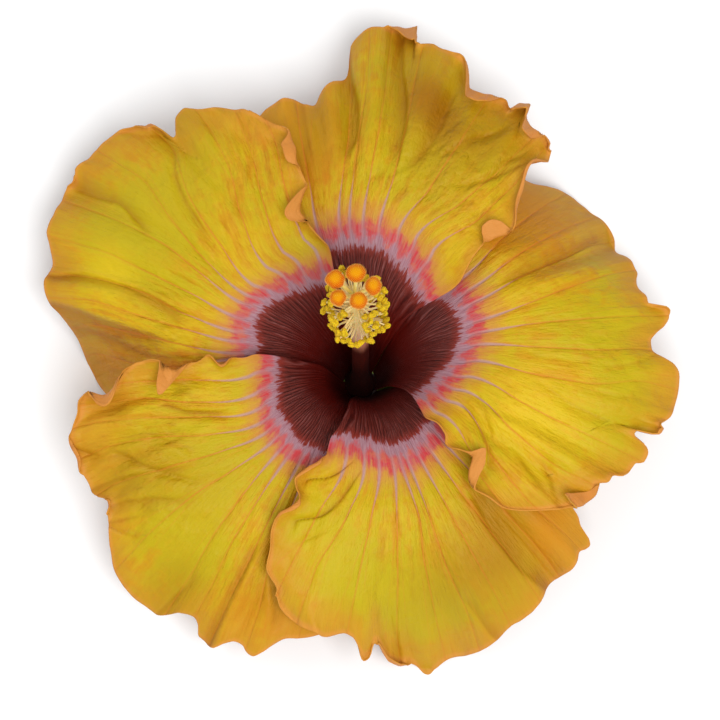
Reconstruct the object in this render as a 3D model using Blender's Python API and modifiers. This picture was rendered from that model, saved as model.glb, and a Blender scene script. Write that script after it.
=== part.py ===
"""Tropical hibiscus flower, one open bloom lying face up on three of its petal tips."""

import math
import random

import bmesh
import bpy
import numpy as np
from mathutils import Matrix

# Sizes are in millimetres and angles in degrees. A radius is measured from the flower's axis, and
# an azimuth runs counterclockwise from +X, seen from above.
MM = 0.001

# Whole flower
AXIS_X = -0.56
AXIS_Y = -2.76
LEAN = 10.0
LEAN_PIVOT_Z = 29.0
LEAN_FADE_RADII = (18.0, 30.0)
SEAT_GAP = 0.3

# Petals
CLAW_RADIUS = 3.8
CLAW_Z = 3.6
PROFILE_STEP = 0.25
PROFILE_SLOPES = [(0, 68), (10, 64), (20, 50), (30, 27), (40, 9), (50, -3), (65, -18), (80, -30),
                  (95, -36), (120, -40)]
MEAN_LENGTH = 80.0
BLADE = 0.7
TWIST_LIFT = [(3.8, 0.45), (8, 0.8), (18, 1.9), (32, 3.0), (90, 3.0)]
FALL_RADIUS = 38.0
FALL_REACH = 37.0
FALL_POWER = 1.6
CREASE_RADIUS = 72.0
FOLD_ONSET = (-12.0, 22.0)
SHOWING_SHARES = (0.10, 0.28)
RUFFLE_LENGTHS = (9.5, 14.0, 22.0)
RUFFLE_SHARES = (0.40, 0.65, 0.55)
RUFFLE_FADE = 1.6
RIM_WAVE = 1.3
RIM_WAVE_DEPTH = 16.0
SIDE_WAVE = 0.9
SIDE_WAVE_DEPTH = 9.0
SIDE_WAVE_RADII = (20.0, 34.0)
COLUMNS = 40
ROWS = 14
ROW_CROWDING = 1.2
WELD_RADII = [(7.5, 8), (14.0, 4), (30.0, 2)]

# Stalk and green cups
RECEPTACLE_RADIUS = 4.3
RECEPTACLE_Z = 3.2
STALK_RADIUS = 1.6
STALK_CUT_Z = 0.4
CUP_WALL = 0.8
CUP_LOBES = 5
CUP_FOOT_Z = 2.4
CUP_NOTCH_Z = 13.5
CUP_LOBE_HEIGHT = 8.0
CUP_LOBE_SHARPNESS = 0.8
CUP_RADII = [(2.4, 5.1), (4, 6.4), (7, 8.3), (11, 10.0), (15, 12.4), (19, 15.2), (23, 18.4)]
CUP_COLUMNS = 40
CUP_ROWS = 6
RING_OUTLINE = [(6.5, 1.85), (6.2, 1.0), (3.4, 1.0), (3.4, 1.85)]
BRACTS = 7
BRACT_FIRST_TURN = 20.0
BRACT_WIDTH = 1.8
BRACT_TAPER = 0.75
BRACT_RADII = [(0, 6.0), (0.25, 8.6), (0.5, 10.4), (0.75, 12.4), (1, 15.2)]
BRACT_HEIGHTS = [(0, 1.45), (0.25, 2.6), (0.5, 6.2), (0.75, 9.8), (1, 12.2)]

# Column and its stamens
BORE_RADIUS = 0.75
COLUMN_TOP_Z = 60.0
COLUMN_PATH_X = [(3, 0.0), (29, 0.0), (45, -0.5), (70, -1.3)]
COLUMN_PATH_Y = [(3, -4.58), (29, 0.0), (48, 3.1), (70, 5.6)]
COLUMN_RADII = [(60.0, 1.3), (48.0, 1.4), (28.0, 1.5), (13.0, 1.85), (3.6, 2.7)]
STAMENS = 62
STAMEN_ZONE = (38.0, 57.5)
STAMEN_TURN = 137.5
STAMEN_ROOT_RADIUS = 1.05
FILAMENT_LENGTHS = (4.0, 6.6)
FILAMENT_SHORTENING = 0.22
FILAMENT_RISES = (8.0, 42.0)
FILAMENT_RADIUS = 0.35
ANTHER_RADIUS = 0.98
ANTHER_SHAPE = (1.12, 0.86, 0.86)

# Pistil, which stands free inside the column
OVARY_RADIUS = 1.2
OVARY_TOP_Z = 8.5
STYLE_RADIUS = 0.45
STYLE_TOP_Z = 62.5
STYLE_TOP_RADIUS = 0.7
BRANCH_RADIUS = 0.5
PAD_RADIUS = 2.1
PAD_FLATNESS = 0.8
PADS = [(-3.65, 1.75, 67.6), (0.65, 3.25, 68.4), (4.3, 0.45, 67.8), (-3.6, -2.4, 68.6),
        (0.9, -2.65, 69.2)]

# Each petal: its two side edges as (radius, azimuth), its rim as (azimuth, radius), how far its
# outer part falls by azimuth, then folds as (azimuth, half width, height, first radius), curls
# of the free edge as (radius, half length, depth, turn) and curls of the rim as (azimuth, half
# width, depth, turn).
PETALS = [
    {
        "name": "petal_upper_left",
        "free_edge": [(3.8, 117), (8, 117), (14, 111), (20, 108.5), (24.5, 105.5), (27, 107),
                      (30, 110), (34, 110.5), (39, 108), (43, 109), (47, 106.5), (50, 107),
                      (54, 111), (58, 114), (60, 115.3)],
        "hidden_edge": [(3.8, 179), (8, 180), (14, 192), (22, 199), (40, 201), (60, 199)],
        "margin": [(199, 51), (195, 56), (190, 60.5), (185, 64), (180, 66.6), (175, 68.8),
                   (171.5, 72.5), (169.8, 75), (167, 76), (163.5, 77), (160, 78.4), (158, 79.6),
                   (155, 79.8), (152, 80.5), (150, 81.5), (147.8, 80.2), (146.2, 81.2),
                   (143.5, 79.8), (140.7, 79.6), (138, 78.6), (136.3, 77), (134, 73.8),
                   (132.3, 71.8), (131, 72), (130, 71), (129, 67), (128.3, 66.3),
                   (127.2, 67.8), (126.3, 69.5), (125, 68.6), (122.8, 66.5), (120, 64.8),
                   (117.6, 61.8), (116.2, 60.6), (115.4, 59.6)],
        "fall": [(100, 0), (150, 1), (164, 0), (170, 3), (176, 27), (181, 37.8), (190, 38),
                 (205, 34)],
        "crease_turn": 0.18,
        "folds": [(163, 2.6, -1.6, 45), (167, 2.6, 1.6, 42), (150, 2.0, -0.8, 38),
                  (131, 2.2, -1.3, 45), (126, 2.6, 1.0, 45), (148, 2.2, -1.2, 64),
                  (156, 3.5, 0.8, 45), (119, 2.5, -0.8, 40)],
        "side_curls": [(27, 3.0, 2.5, 70), (36, 4.0, 4.5, 140), (48, 4.5, 4.5, 110)],
        "rim_curls": [(130.5, 2.2, 4.0, 70), (148.5, 2.5, 3.0, 50)],
        "seed": 11,
    },
    {
        "name": "petal_top",
        "free_edge": [(3.8, 45), (8, 45), (14, 38), (17, 35.5), (19.3, 33), (22, 31.2),
                      (25.2, 30.5), (27.5, 31.5), (30, 34.4), (33.5, 37.6), (37, 38.5),
                      (43, 38), (46, 40.4), (50, 42.8), (54, 45.8), (58, 44.8), (61, 45.3),
                      (64, 46.6)],
        "hidden_edge": [(3.8, 107), (8, 108), (14, 114), (22, 120), (40, 122), (60, 127)],
        "margin": [(127, 51), (123, 54), (119, 57.5), (115, 60), (112.5, 62.5), (110.3, 63.5),
                   (108, 63.6), (105, 63), (102.5, 61.7), (100.3, 61.3), (98.6, 63), (96, 65),
                   (93.6, 66.5), (92.5, 68.5), (92, 73), (91.6, 76.7), (90, 78.7), (87.9, 80),
                   (85.2, 80.3), (83, 81.4), (80.4, 82), (79.8, 76), (77.5, 76.3),
                   (75.5, 75.4), (73, 75.7), (71.2, 75.3), (70, 73.8), (69, 71.5),
                   (67.4, 67.4), (65, 66.8), (62.8, 68), (60.3, 69.9), (58.7, 67.7),
                   (57.4, 70.8), (56, 70.9), (55, 67), (53, 66), (50, 66.5), (48, 65.7),
                   (46.8, 64)],
        "fall": [(30, 2), (60, 3), (80, 1), (92, 3), (110, 5), (130, 6)],
        "crease_turn": 0.0,
        "folds": [(81.5, 3.0, -1.6, 45), (87.5, 3.6, 1.2, 45), (76, 3.2, 0.9, 48),
                  (69.5, 3.2, -1.6, 42), (64.5, 2.4, 0.9, 45), (60, 2.6, -1.1, 48),
                  (100.5, 1.8, -1.3, 44), (92.5, 2.0, -1.2, 42), (106, 3.0, 1.0, 45),
                  (50.5, 1.8, -1.2, 52), (55, 2.2, 1.0, 50), (96.5, 2.0, 0.8, 44)],
        "side_curls": [(42, 3.0, 3.5, 120), (50, 4.5, 2.5, 70), (57, 3.5, 4.0, 90)],
        "rim_curls": [(80.9, 2.4, 6.0, 165), (66, 5.5, 3.2, 100), (56.6, 2.2, 4.0, 90),
                      (52.5, 3.0, 3.2, 100)],
        "seed": 23,
    },
    {
        "name": "petal_right",
        "free_edge": [(3.8, -27), (8, -27), (14, -37), (18, -42), (21.5, -46.5), (24, -48.5),
                      (27, -47), (29.5, -47.5), (31, -50), (34.5, -49.3), (37, -48.5),
                      (39, -51.4), (42, -52.8), (45.5, -50.3), (50, -48.2), (53, -45.5),
                      (56, -41.8), (60, -37)],
        "hidden_edge": [(3.8, 35), (8, 36), (14, 42), (22, 46), (40, 54), (60, 60)],
        "margin": [(60, 54), (55, 57), (50, 59.5), (46, 61), (43.5, 64), (41.5, 66.2),
                   (39, 67.6), (36, 68.4), (33, 69.2), (30, 70), (27, 70.4), (24, 69.8),
                   (21, 69), (19, 68.4), (17.3, 68.8), (15.8, 68), (14, 67.4), (11.6, 68.4),
                   (10, 68), (9.2, 69.6), (8.6, 71.8), (7, 72.2), (5.3, 71.2), (3.8, 69.2),
                   (2.4, 67.8), (0.2, 67.8), (-1.2, 70), (-2.4, 72.4), (-4.4, 73.4),
                   (-7, 73.6), (-9.7, 73), (-12.2, 72), (-14.4, 69.6), (-15.4, 71.4),
                   (-16.4, 71.2), (-18, 69.6), (-19.6, 70.2), (-21.5, 69.4), (-22.4, 67),
                   (-24.2, 67.3), (-25.8, 66), (-26.8, 63.6), (-28.5, 62.9), (-30, 61),
                   (-32.5, 62), (-35, 61.4), (-36.8, 60)],
        "fall": [(-60, 0), (-20, 1), (0, 2), (10, 5), (20, 17), (28, 27), (36, 29.5), (46, 29),
                 (62, 27)],
        "crease_turn": 0.0,
        "folds": [(24, 2.4, -1.5, 36), (19, 2.6, 1.0, 38), (31, 3.0, 0.8, 42),
                  (1, 2.6, -0.9, 58), (-5, 3.6, 0.9, 52), (-16.5, 2.0, -1.6, 54),
                  (-11.5, 2.6, 0.8, 50), (-25, 2.6, -1.0, 34), (-29.5, 2.4, 1.2, 30),
                  (-35, 2.2, -1.2, 28), (-41, 2.6, 1.0, 24), (8, 2.6, 0.7, 55)],
        "side_curls": [(36, 3.4, 4.6, 110), (46, 6.0, 2.6, 60), (27, 3.0, 2.0, 50)],
        "rim_curls": [(-15.6, 2.0, 5.5, 80), (8.6, 2.4, 2.5, 60), (-33, 4.0, 4.0, -70)],
        "seed": 37,
    },
    {
        "name": "petal_bottom",
        "free_edge": [(3.8, -99), (8, -99), (14, -102.5), (20.4, -104.5), (24, -107),
                      (27.5, -106.5), (30, -110.5), (32, -113.8), (34.6, -114.6),
                      (36.4, -113.6), (38.5, -111.4), (40.8, -113), (43, -115), (46.7, -114.8),
                      (50, -113.4), (54, -112), (58, -108)],
        "hidden_edge": [(3.8, -37), (8, -36), (14, -33), (22, -33), (40, -34), (60, -27)],
        "margin": [(-26, 54), (-31, 58), (-36.3, 61.5), (-37.2, 64.5), (-38.4, 66.5),
                   (-39, 69.6), (-39.9, 70.8), (-41, 70.4), (-42.4, 69.4), (-44, 70.2),
                   (-46, 71), (-50.5, 71.2), (-54, 72.2), (-58.8, 73), (-61, 72.6),
                   (-64.7, 73), (-70, 73.3), (-74, 72.7), (-76.2, 73.1), (-77.5, 73.8),
                   (-78.6, 73.5), (-79.6, 71.8), (-81.4, 70.7), (-83.1, 71.3), (-85, 70.4),
                   (-85.7, 67.2), (-87, 66.6), (-88.4, 67.6), (-89.4, 68.2), (-90.6, 67.6),
                   (-91.2, 65.2), (-93, 64.8), (-96.8, 65.4), (-98.5, 64.6), (-101, 64),
                   (-103.5, 62.8), (-106, 60.6), (-107.8, 58.3)],
        "fall": [(-118, 2), (-100, 4), (-90, 12), (-83, 21), (-77, 23.5), (-70, 18), (-60, 8),
                 (-45, 6), (-25, 7)],
        "crease_turn": 0.0,
        "folds": [(-50, 3.6, -1.9, 40), (-43.5, 3.2, 1.7, 44), (-66, 3.4, 0.9, 48),
                  (-59, 3.0, -0.7, 46), (-84.5, 2.2, -1.5, 58), (-89.5, 2.2, 1.2, 58),
                  (-77.5, 2.6, 0.8, 56), (-104, 2.6, -1.0, 34), (-72, 2.4, -0.6, 45)],
        "side_curls": [(31, 3.2, 3.0, 100), (40, 4.5, 3.2, 70), (50, 5.0, 2.5, 50)],
        "rim_curls": [(-88.5, 3.0, 4.5, 90), (-83, 2.6, 4.0, 110)],
        "seed": 41,
    },
    {
        "name": "petal_lower_left",
        "free_edge": [(3.8, -171), (8, -171), (14, -172), (20, -173), (25, -173.5),
                      (27.5, -172.4), (30, -173.2), (32.3, -172.2), (34.6, -175),
                      (37, -173), (41.6, -170.5), (45.3, -175.3), (50.3, -174.6),
                      (52.7, -172.5), (55, -170), (60, -169.6)],
        "hidden_edge": [(3.8, -109), (8, -108), (14, -100), (22, -94), (40, -93), (60, -87)],
        "margin": [(-86, 58), (-91, 62), (-96, 65.9), (-98.2, 67.4), (-100.1, 68.3),
                   (-102.3, 69.2), (-104.7, 69.9), (-106.6, 71.5), (-108, 73.3),
                   (-109.4, 74.6), (-110.6, 74.4), (-111.8, 73.6), (-113.4, 73.7),
                   (-114.9, 74.4), (-116.6, 76.2), (-118.5, 75.7), (-119.8, 75.9),
                   (-120.8, 74), (-122, 73.3), (-123.6, 73.6), (-124.8, 74), (-126.4, 75.6),
                   (-128.1, 77), (-131.9, 77.2), (-134.6, 76.7), (-138.2, 75.2),
                   (-140.5, 73.4), (-144, 70.6), (-146.3, 68.4), (-147.5, 67.2), (-148.7, 66.8),
                   (-150.7, 68.2), (-152.3, 69.2), (-155.5, 69), (-157.8, 68.9),
                   (-160.1, 68.6), (-162, 67.8), (-164.2, 66.4), (-166, 65.1), (-168, 63.8),
                   (-168.8, 62.5), (-169.4, 60.2)],
        "fall": [(-180, -1), (-165, 0), (-150, 2), (-135, 4), (-120, 3), (-100, 4), (-84, 6)],
        "crease_turn": 0.0,
        "folds": [(-171, 2.6, 1.0, 32), (-166.5, 2.2, -1.4, 34), (-162.5, 2.6, 0.8, 40),
                  (-158.5, 2.0, -1.3, 48), (-153.5, 2.2, -1.2, 40), (-148.5, 2.4, -1.5, 56),
                  (-151, 2.0, 0.9, 44), (-140, 4.0, 0.9, 48), (-122, 3.0, -1.4, 56),
                  (-117, 2.8, 1.2, 48), (-109, 3.0, 1.2, 50), (-112.8, 1.8, -0.7, 48),
                  (-103, 3.0, -1.2, 50), (-130, 3.0, -0.7, 50)],
        "side_curls": [(32.5, 2.6, 3.0, 130), (43.5, 3.2, 5.5, 150), (57, 3.6, 5.5, 150)],
        "rim_curls": [(-160, 6.0, 3.0, 70), (-148.2, 2.5, 3.5, 60)],
        "seed": 53,
    },
]


def through(x, points):
    """Height at x of a smooth line through the points, which never overshoots them."""
    xs = np.array([point[0] for point in points], dtype=float)
    ys = np.array([point[1] for point in points], dtype=float)
    gaps = np.diff(xs)
    rises = np.diff(ys) / gaps
    tangents = np.zeros(len(xs))
    before = rises[:-1]
    after = rises[1:]
    both = before * after > 0
    tangents[1:-1][both] = 2 * before[both] * after[both] / (before[both] + after[both])
    x = np.clip(x, xs[0], xs[-1])
    i = np.clip(np.searchsorted(xs, x) - 1, 0, len(gaps) - 1)
    u = (x - xs[i]) / gaps[i]
    start = (1 + 2 * u) * (1 - u) ** 2 * ys[i] + u * (1 - u) ** 2 * gaps[i] * tangents[i]
    end = u * u * (3 - 2 * u) * ys[i + 1] + u * u * (u - 1) * gaps[i] * tangents[i + 1]
    return start + end


def ramp(x, low, high):
    """Soft step from 0 at low to 1 at high."""
    u = np.clip((x - low) / (high - low), 0, 1)
    return u * u * (3 - 2 * u)


def petal_profile():
    """Arc lengths, radii, heights and slopes of the mean line from claw to rim."""
    arcs = np.arange(0, PROFILE_SLOPES[-1][0] + PROFILE_STEP, PROFILE_STEP)
    slopes = np.radians(np.interp(arcs, *zip(*PROFILE_SLOPES)))
    radii = CLAW_RADIUS + np.concatenate([[0], np.cumsum(np.cos(slopes[:-1]))]) * PROFILE_STEP
    heights = CLAW_Z + np.concatenate([[0], np.cumsum(np.sin(slopes[:-1]))]) * PROFILE_STEP
    return arcs, radii, heights, slopes


ARCS, RADII, HEIGHTS, SLOPES = petal_profile()


def leaned(x, y, z, radius):
    """The throat and all below it lean toward +Y about the height of the petals' crown."""
    share = 1 - ramp(radius, *LEAN_FADE_RADII)
    return x, y + math.tan(math.radians(LEAN)) * (z - LEAN_PIVOT_Z) * share, z


def roll(reach, distance, strength, turn):
    """Shift along and off the blade of a strip near an edge that is rolled by a turn."""
    u = np.clip(reach - distance, 0, None)
    bend = np.radians(turn) * strength / reach
    bend = np.where(np.abs(bend) < 1e-6, 1e-6, bend)
    return np.sin(bend * u) / bend - u, (1 - np.cos(bend * u)) / bend


def hump(x, half_width):
    """Smooth hump, 1 in its middle, about half as high a half width away."""
    return np.clip(1 - (x / half_width) ** 2 / 2.6, 0, 1) ** 2


def ruffle(distance_along, seed):
    """Uneven wave along an edge."""
    draw = random.Random(seed)
    wave = np.zeros_like(distance_along)
    for length, share in zip(RUFFLE_LENGTHS, RUFFLE_SHARES):
        stretched = length * draw.uniform(0.88, 1.12)
        wave += share * np.sin(2 * math.pi * (distance_along / stretched + draw.random()))
    return wave


def petal_points(petal, s, t):
    """Middle surface of a petal, with s across it from the hidden edge to the free edge and t
    from the claw to the rim."""
    hidden = petal["hidden_edge"]
    free = petal["free_edge"]
    rim = []
    for azimuth, radius in petal["margin"]:
        left = through(radius, hidden)
        right = through(radius, free)
        rim.append((float((left - azimuth) / (left - right)), radius))
    rim_arc = np.interp(through(s, rim), RADII, ARCS)
    arc = t * rim_arc
    radius = np.interp(arc, ARCS, RADII)
    height = np.interp(arc, ARCS, HEIGHTS)
    slope = np.interp(arc, ARCS, SLOPES)
    left = through(radius, hidden)
    right = through(radius, free)
    azimuth = left + (right - left) * s

    turned = azimuth - petal["crease_turn"] * np.clip(CREASE_RADIUS - radius, 0, None)
    beyond = np.clip(radius - FALL_RADIUS, 0, None) / FALL_REACH
    fall = through(turned, petal["fall"])
    steepness = fall * FALL_POWER / FALL_REACH * beyond ** (FALL_POWER - 1)
    slope = np.arctan(np.tan(slope) - steepness)

    off_rim = rim_arc - arc
    off_free = radius * np.radians(azimuth - right)
    showing = ramp(s, *SHOWING_SHARES)
    lift = through(radius, TWIST_LIFT) * (2 * s - 1)
    for where, half_width, size, start in petal["folds"]:
        grow = ramp(radius, start + FOLD_ONSET[0], start + FOLD_ONSET[1])
        lift = lift + size * showing * grow * np.exp(-((azimuth - where) / half_width) ** 2)
    rim_share = np.clip(1 - off_rim / RIM_WAVE_DEPTH, 0, 1) ** RUFFLE_FADE
    rim_wave = ruffle(radius * np.radians(azimuth), petal["seed"])
    lift = lift + RIM_WAVE * rim_share * rim_wave * showing
    side_share = np.clip(1 - off_free / SIDE_WAVE_DEPTH, 0, 1) ** RUFFLE_FADE
    side_share = side_share * ramp(radius, *SIDE_WAVE_RADII)
    lift = lift + SIDE_WAVE * side_share * ruffle(radius, petal["seed"] + 1)

    along_free = np.zeros_like(lift)
    along_rim = np.zeros_like(lift)
    for where, half_width, reach, turn in petal["side_curls"]:
        strength = hump(radius - where, half_width)
        along, off = roll(reach, off_free, strength, turn)
        along_free = along_free + along
        lift = lift + off
    for where, half_width, reach, turn in petal["rim_curls"]:
        strength = hump(azimuth - where, half_width)
        along, off = roll(reach, off_rim, strength, turn)
        along_rim = along_rim + along
        lift = lift + off

    outward = along_rim * np.cos(slope) - lift * np.sin(slope)
    angle = np.radians(azimuth)
    x = (radius + outward) * np.cos(angle) + along_free * np.sin(angle)
    y = (radius + outward) * np.sin(angle) - along_free * np.cos(angle)
    z = height - fall * beyond ** FALL_POWER + along_rim * np.sin(slope) + lift * np.cos(slope)
    return leaned(x, y, z, radius)


def plain_material(name, colour, roughness):
    """Principled material of one colour."""
    material = bpy.data.materials.new(name)
    material.use_nodes = True
    shader = material.node_tree.nodes["Principled BSDF"]
    shader.inputs["Base Color"].default_value = (*colour, 1.0)
    shader.inputs["Roughness"].default_value = roughness
    shader.inputs["Metallic"].default_value = 0.0
    material.diffuse_color = (*colour, 1.0)
    return material


def new_object(name, bm, collection):
    """Object in the collection with the mesh that was worked on, which is freed."""
    mesh = bpy.data.meshes.new(name)
    bm.to_mesh(mesh)
    bm.free()
    made = bpy.data.objects.new(name, mesh)
    collection.objects.link(made)
    return made


def new_collection(name):
    """Collection in the scene."""
    made = bpy.data.collections.new(name)
    bpy.context.scene.collection.children.link(made)
    return made


def with_modifiers_applied(made):
    """The same object, its mesh replaced by what its modifiers give."""
    evaluated = made.evaluated_get(bpy.context.evaluated_depsgraph_get())
    mesh = bpy.data.meshes.new_from_object(evaluated)
    made.modifiers.clear()
    made.data = mesh
    return made


def thickened(made, thickness):
    """The same object, its open sheet made into a blade with an equal share on either face."""
    shell = made.modifiers.new("blade", "SOLIDIFY")
    shell.thickness = thickness
    shell.offset = 0.0
    made.modifiers.new("split", "TRIANGULATE")
    return with_modifiers_applied(made)


def place(mesh, follow):
    """Moves each vertex by the follow function, then from the flower's axis to its place, in
    metres."""
    for vertex in mesh.vertices:
        x, y, z = follow(*vertex.co)
        vertex.co = ((x + AXIS_X) * MM, (y + AXIS_Y) * MM, z * MM)
    mesh.update()


def resting(x, y, z):
    """Place of a point of a petal, which goes no lower than the surface it lies on."""
    return x, y, max(z, 0.0)


def base_follow(x, y, z):
    """Place of a point of the base, which leans with the throat."""
    return leaned(x, y, z, 0.0)


def column_follow(x, y, z):
    """Place of a point that is drawn round a straight upright column."""
    return x + float(through(z, COLUMN_PATH_X)), y + float(through(z, COLUMN_PATH_Y)), z


def sheet(columns, rows):
    """Flat grid mesh, with both directions running from 0 to 1."""
    bm = bmesh.new()
    bmesh.ops.create_grid(bm, x_segments=columns, y_segments=rows, size=0.5)
    for vertex in bm.verts:
        vertex.co.x = round((vertex.co.x + 0.5) * columns) / columns
        vertex.co.y = round((vertex.co.y + 0.5) * rows) / rows
    return bm


def thin_out_claw(bm, rows_radii):
    """Welds columns together where the petal narrows, row by row."""
    rows = [[] for radius in rows_radii]
    for vertex in bm.verts:
        rows[round(vertex.co.y * ROWS)].append(vertex)
    targets = {}
    for radius, row in zip(rows_radii, rows):
        row.sort(key=lambda vertex: vertex.co.x)
        stride = 1
        for limit, count in reversed(WELD_RADII):
            if radius < limit:
                stride = count
        for i, vertex in enumerate(row):
            kept = row[i // stride * stride]
            if vertex is not kept:
                targets[vertex] = kept
    bmesh.ops.weld_verts(bm, targetmap=targets)


def build_petal(petal, collection, material):
    """One petal, a waved blade that is narrow at its claw and lies flat where it touches down."""
    bm = sheet(COLUMNS, ROWS)
    row_shares = [1 - (1 - i / ROWS) ** ROW_CROWDING for i in range(ROWS + 1)]
    row_radii = np.interp(np.array(row_shares) * MEAN_LENGTH, ARCS, RADII)
    thin_out_claw(bm, row_radii)
    bmesh.ops.triangulate(bm, faces=bm.faces[:], quad_method="FIXED")
    s = np.array([vertex.co.x for vertex in bm.verts])
    t = np.array([row_shares[round(vertex.co.y * ROWS)] for vertex in bm.verts])
    x, y, z = petal_points(petal, s, t)
    for i, vertex in enumerate(bm.verts):
        vertex.co = (x[i], y[i], z[i])
    made = thickened(new_object(petal["name"], bm, collection), BLADE)
    place(made.data, resting)
    made.data.materials.append(material)
    made.data.shade_smooth()
    return made


def turned(name, profile, closed, steps, collection):
    """Solid of revolution from an outline of (radius, z) that runs down its outer side."""
    bm = bmesh.new()
    corners = [bm.verts.new((radius, 0.0, z)) for radius, z in profile]
    for first, second in zip(corners, corners[1:]):
        bm.edges.new((first, second))
    if closed:
        bm.edges.new((corners[-1], corners[0]))
    made = new_object(name, bm, collection)
    screw = made.modifiers.new("turn", "SCREW")
    screw.steps = steps
    screw.render_steps = steps
    screw.use_merge_vertices = True
    screw.merge_threshold = 0.0001
    made.modifiers.new("split", "TRIANGULATE")
    return with_modifiers_applied(made)


def build_pedicel(collection, material):
    """Short cut stalk that widens into the receptacle."""
    profile = [(0.0, RECEPTACLE_Z), (RECEPTACLE_RADIUS, RECEPTACLE_Z),
               (RECEPTACLE_RADIUS - 0.2, RECEPTACLE_Z - 0.9), (2.4, 1.6),
               (STALK_RADIUS, 1.1), (STALK_RADIUS, STALK_CUT_Z), (0.0, STALK_CUT_Z)]
    made = turned("pedicel", profile, False, 20, collection)
    place(made.data, base_follow)
    made.data.materials.append(material)
    return made


def build_calyx(collection, material):
    """Green cup with five pointed lobes, open at the receptacle."""
    bm = sheet(CUP_COLUMNS, CUP_ROWS)
    for vertex in bm.verts:
        turn = vertex.co.x * 360.0
        off_point = abs((turn * CUP_LOBES / 180.0) % 2 - 1)
        top = CUP_NOTCH_Z + CUP_LOBE_HEIGHT * (1 - off_point) ** CUP_LOBE_SHARPNESS
        z = CUP_FOOT_Z + (top - CUP_FOOT_Z) * vertex.co.y
        radius = float(through(z, CUP_RADII))
        angle = math.radians(turn)
        vertex.co = (radius * math.cos(angle), radius * math.sin(angle), z)
    bmesh.ops.remove_doubles(bm, verts=bm.verts[:], dist=0.01)
    bmesh.ops.triangulate(bm, faces=bm.faces[:], quad_method="FIXED")
    made = thickened(new_object("calyx", bm, collection), CUP_WALL)
    place(made.data, base_follow)
    made.data.materials.append(material)
    made.data.shade_smooth()
    return made


def build_bract(index, pieces):
    """Narrow green leaf that stands out from the ring and bends up."""
    bm = sheet(2, 6)
    angle = math.radians(360.0 / BRACTS * index + BRACT_FIRST_TURN)
    for vertex in bm.verts:
        share = vertex.co.y
        side = (vertex.co.x - 0.5) * BRACT_WIDTH * (1 - BRACT_TAPER * share ** 2)
        radius = float(through(share, BRACT_RADII))
        z = float(through(share, BRACT_HEIGHTS))
        vertex.co = (radius * math.cos(angle) - side * math.sin(angle),
                     radius * math.sin(angle) + side * math.cos(angle), z)
    bmesh.ops.triangulate(bm, faces=bm.faces[:], quad_method="FIXED")
    thickened(new_object("bract", bm, pieces), BLADE)


def joined(made, pieces):
    """One body from an object and a collection of pieces that are sunk into it."""
    union = made.modifiers.new("join", "BOOLEAN")
    union.operation = "UNION"
    union.operand_type = "COLLECTION"
    union.collection = pieces
    union.solver = "MANIFOLD"
    with_modifiers_applied(made)
    for piece in list(pieces.objects):
        bpy.data.objects.remove(piece, do_unlink=True)
    bpy.data.collections.remove(pieces)
    return made


def build_epicalyx(collection, material):
    """Ring of narrow bracts round the foot of the calyx."""
    made = turned("epicalyx", RING_OUTLINE, True, 28, collection)
    pieces = new_collection("bracts")
    for index in range(BRACTS):
        build_bract(index, pieces)
    joined(made, pieces)
    place(made.data, base_follow)
    made.data.materials.append(material)
    return made


def build_stamen(share, turn, draw, pieces):
    """One filament sunk into the column, with its anther at its tip."""
    z = STAMEN_ZONE[0] + (STAMEN_ZONE[1] - STAMEN_ZONE[0]) * share + draw.uniform(-0.5, 0.5)
    angle = math.radians(turn + draw.uniform(-14, 14))
    length = draw.uniform(*FILAMENT_LENGTHS) * (1 - FILAMENT_SHORTENING * share)
    tilt = math.radians(90 - draw.uniform(*FILAMENT_RISES) - 12 * share)
    foot = Matrix.Rotation(angle, 4, "Z") @ Matrix.Translation((STAMEN_ROOT_RADIUS, 0, z))
    aim = foot @ Matrix.Rotation(tilt, 4, "Y")
    bm = bmesh.new()
    bmesh.ops.create_cone(bm, cap_ends=True, segments=3, radius1=FILAMENT_RADIUS,
                          radius2=FILAMENT_RADIUS, depth=length,
                          matrix=aim @ Matrix.Translation((0, 0, length / 2)))
    new_object("filament", bm, pieces)
    spin = Matrix.Rotation(draw.uniform(0, math.pi), 4, "Z")
    tip = Matrix.Translation(aim @ Matrix.Translation((0, 0, length)).to_translation())
    bm = bmesh.new()
    bmesh.ops.create_icosphere(bm, subdivisions=1, radius=ANTHER_RADIUS,
                               matrix=tip @ spin @ Matrix.Diagonal((*ANTHER_SHAPE, 1)))
    new_object("anther", bm, pieces)


def build_column(collection, material):
    """Hollow column round the style, with its stamens grown from it in a loose spiral."""
    wide_bore = OVARY_RADIUS + SEAT_GAP + 0.1
    outer = [(radius, z) for z, radius in COLUMN_RADII]
    inner = [(wide_bore, COLUMN_RADII[-1][0]), (wide_bore, OVARY_TOP_Z),
             (BORE_RADIUS + 0.1, OVARY_TOP_Z + 2), (BORE_RADIUS, 28.0), (BORE_RADIUS, 48.0),
             (BORE_RADIUS, COLUMN_TOP_Z)]
    made = turned("staminal_column", outer + inner, True, 12, collection)
    pieces = new_collection("stamens")
    draw = random.Random(5)
    for index in range(STAMENS):
        build_stamen((index + 0.5) / STAMENS, STAMEN_TURN * index, draw, pieces)
    joined(made, pieces)
    place(made.data, column_follow)
    made.data.materials.append(material)
    return made


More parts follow.
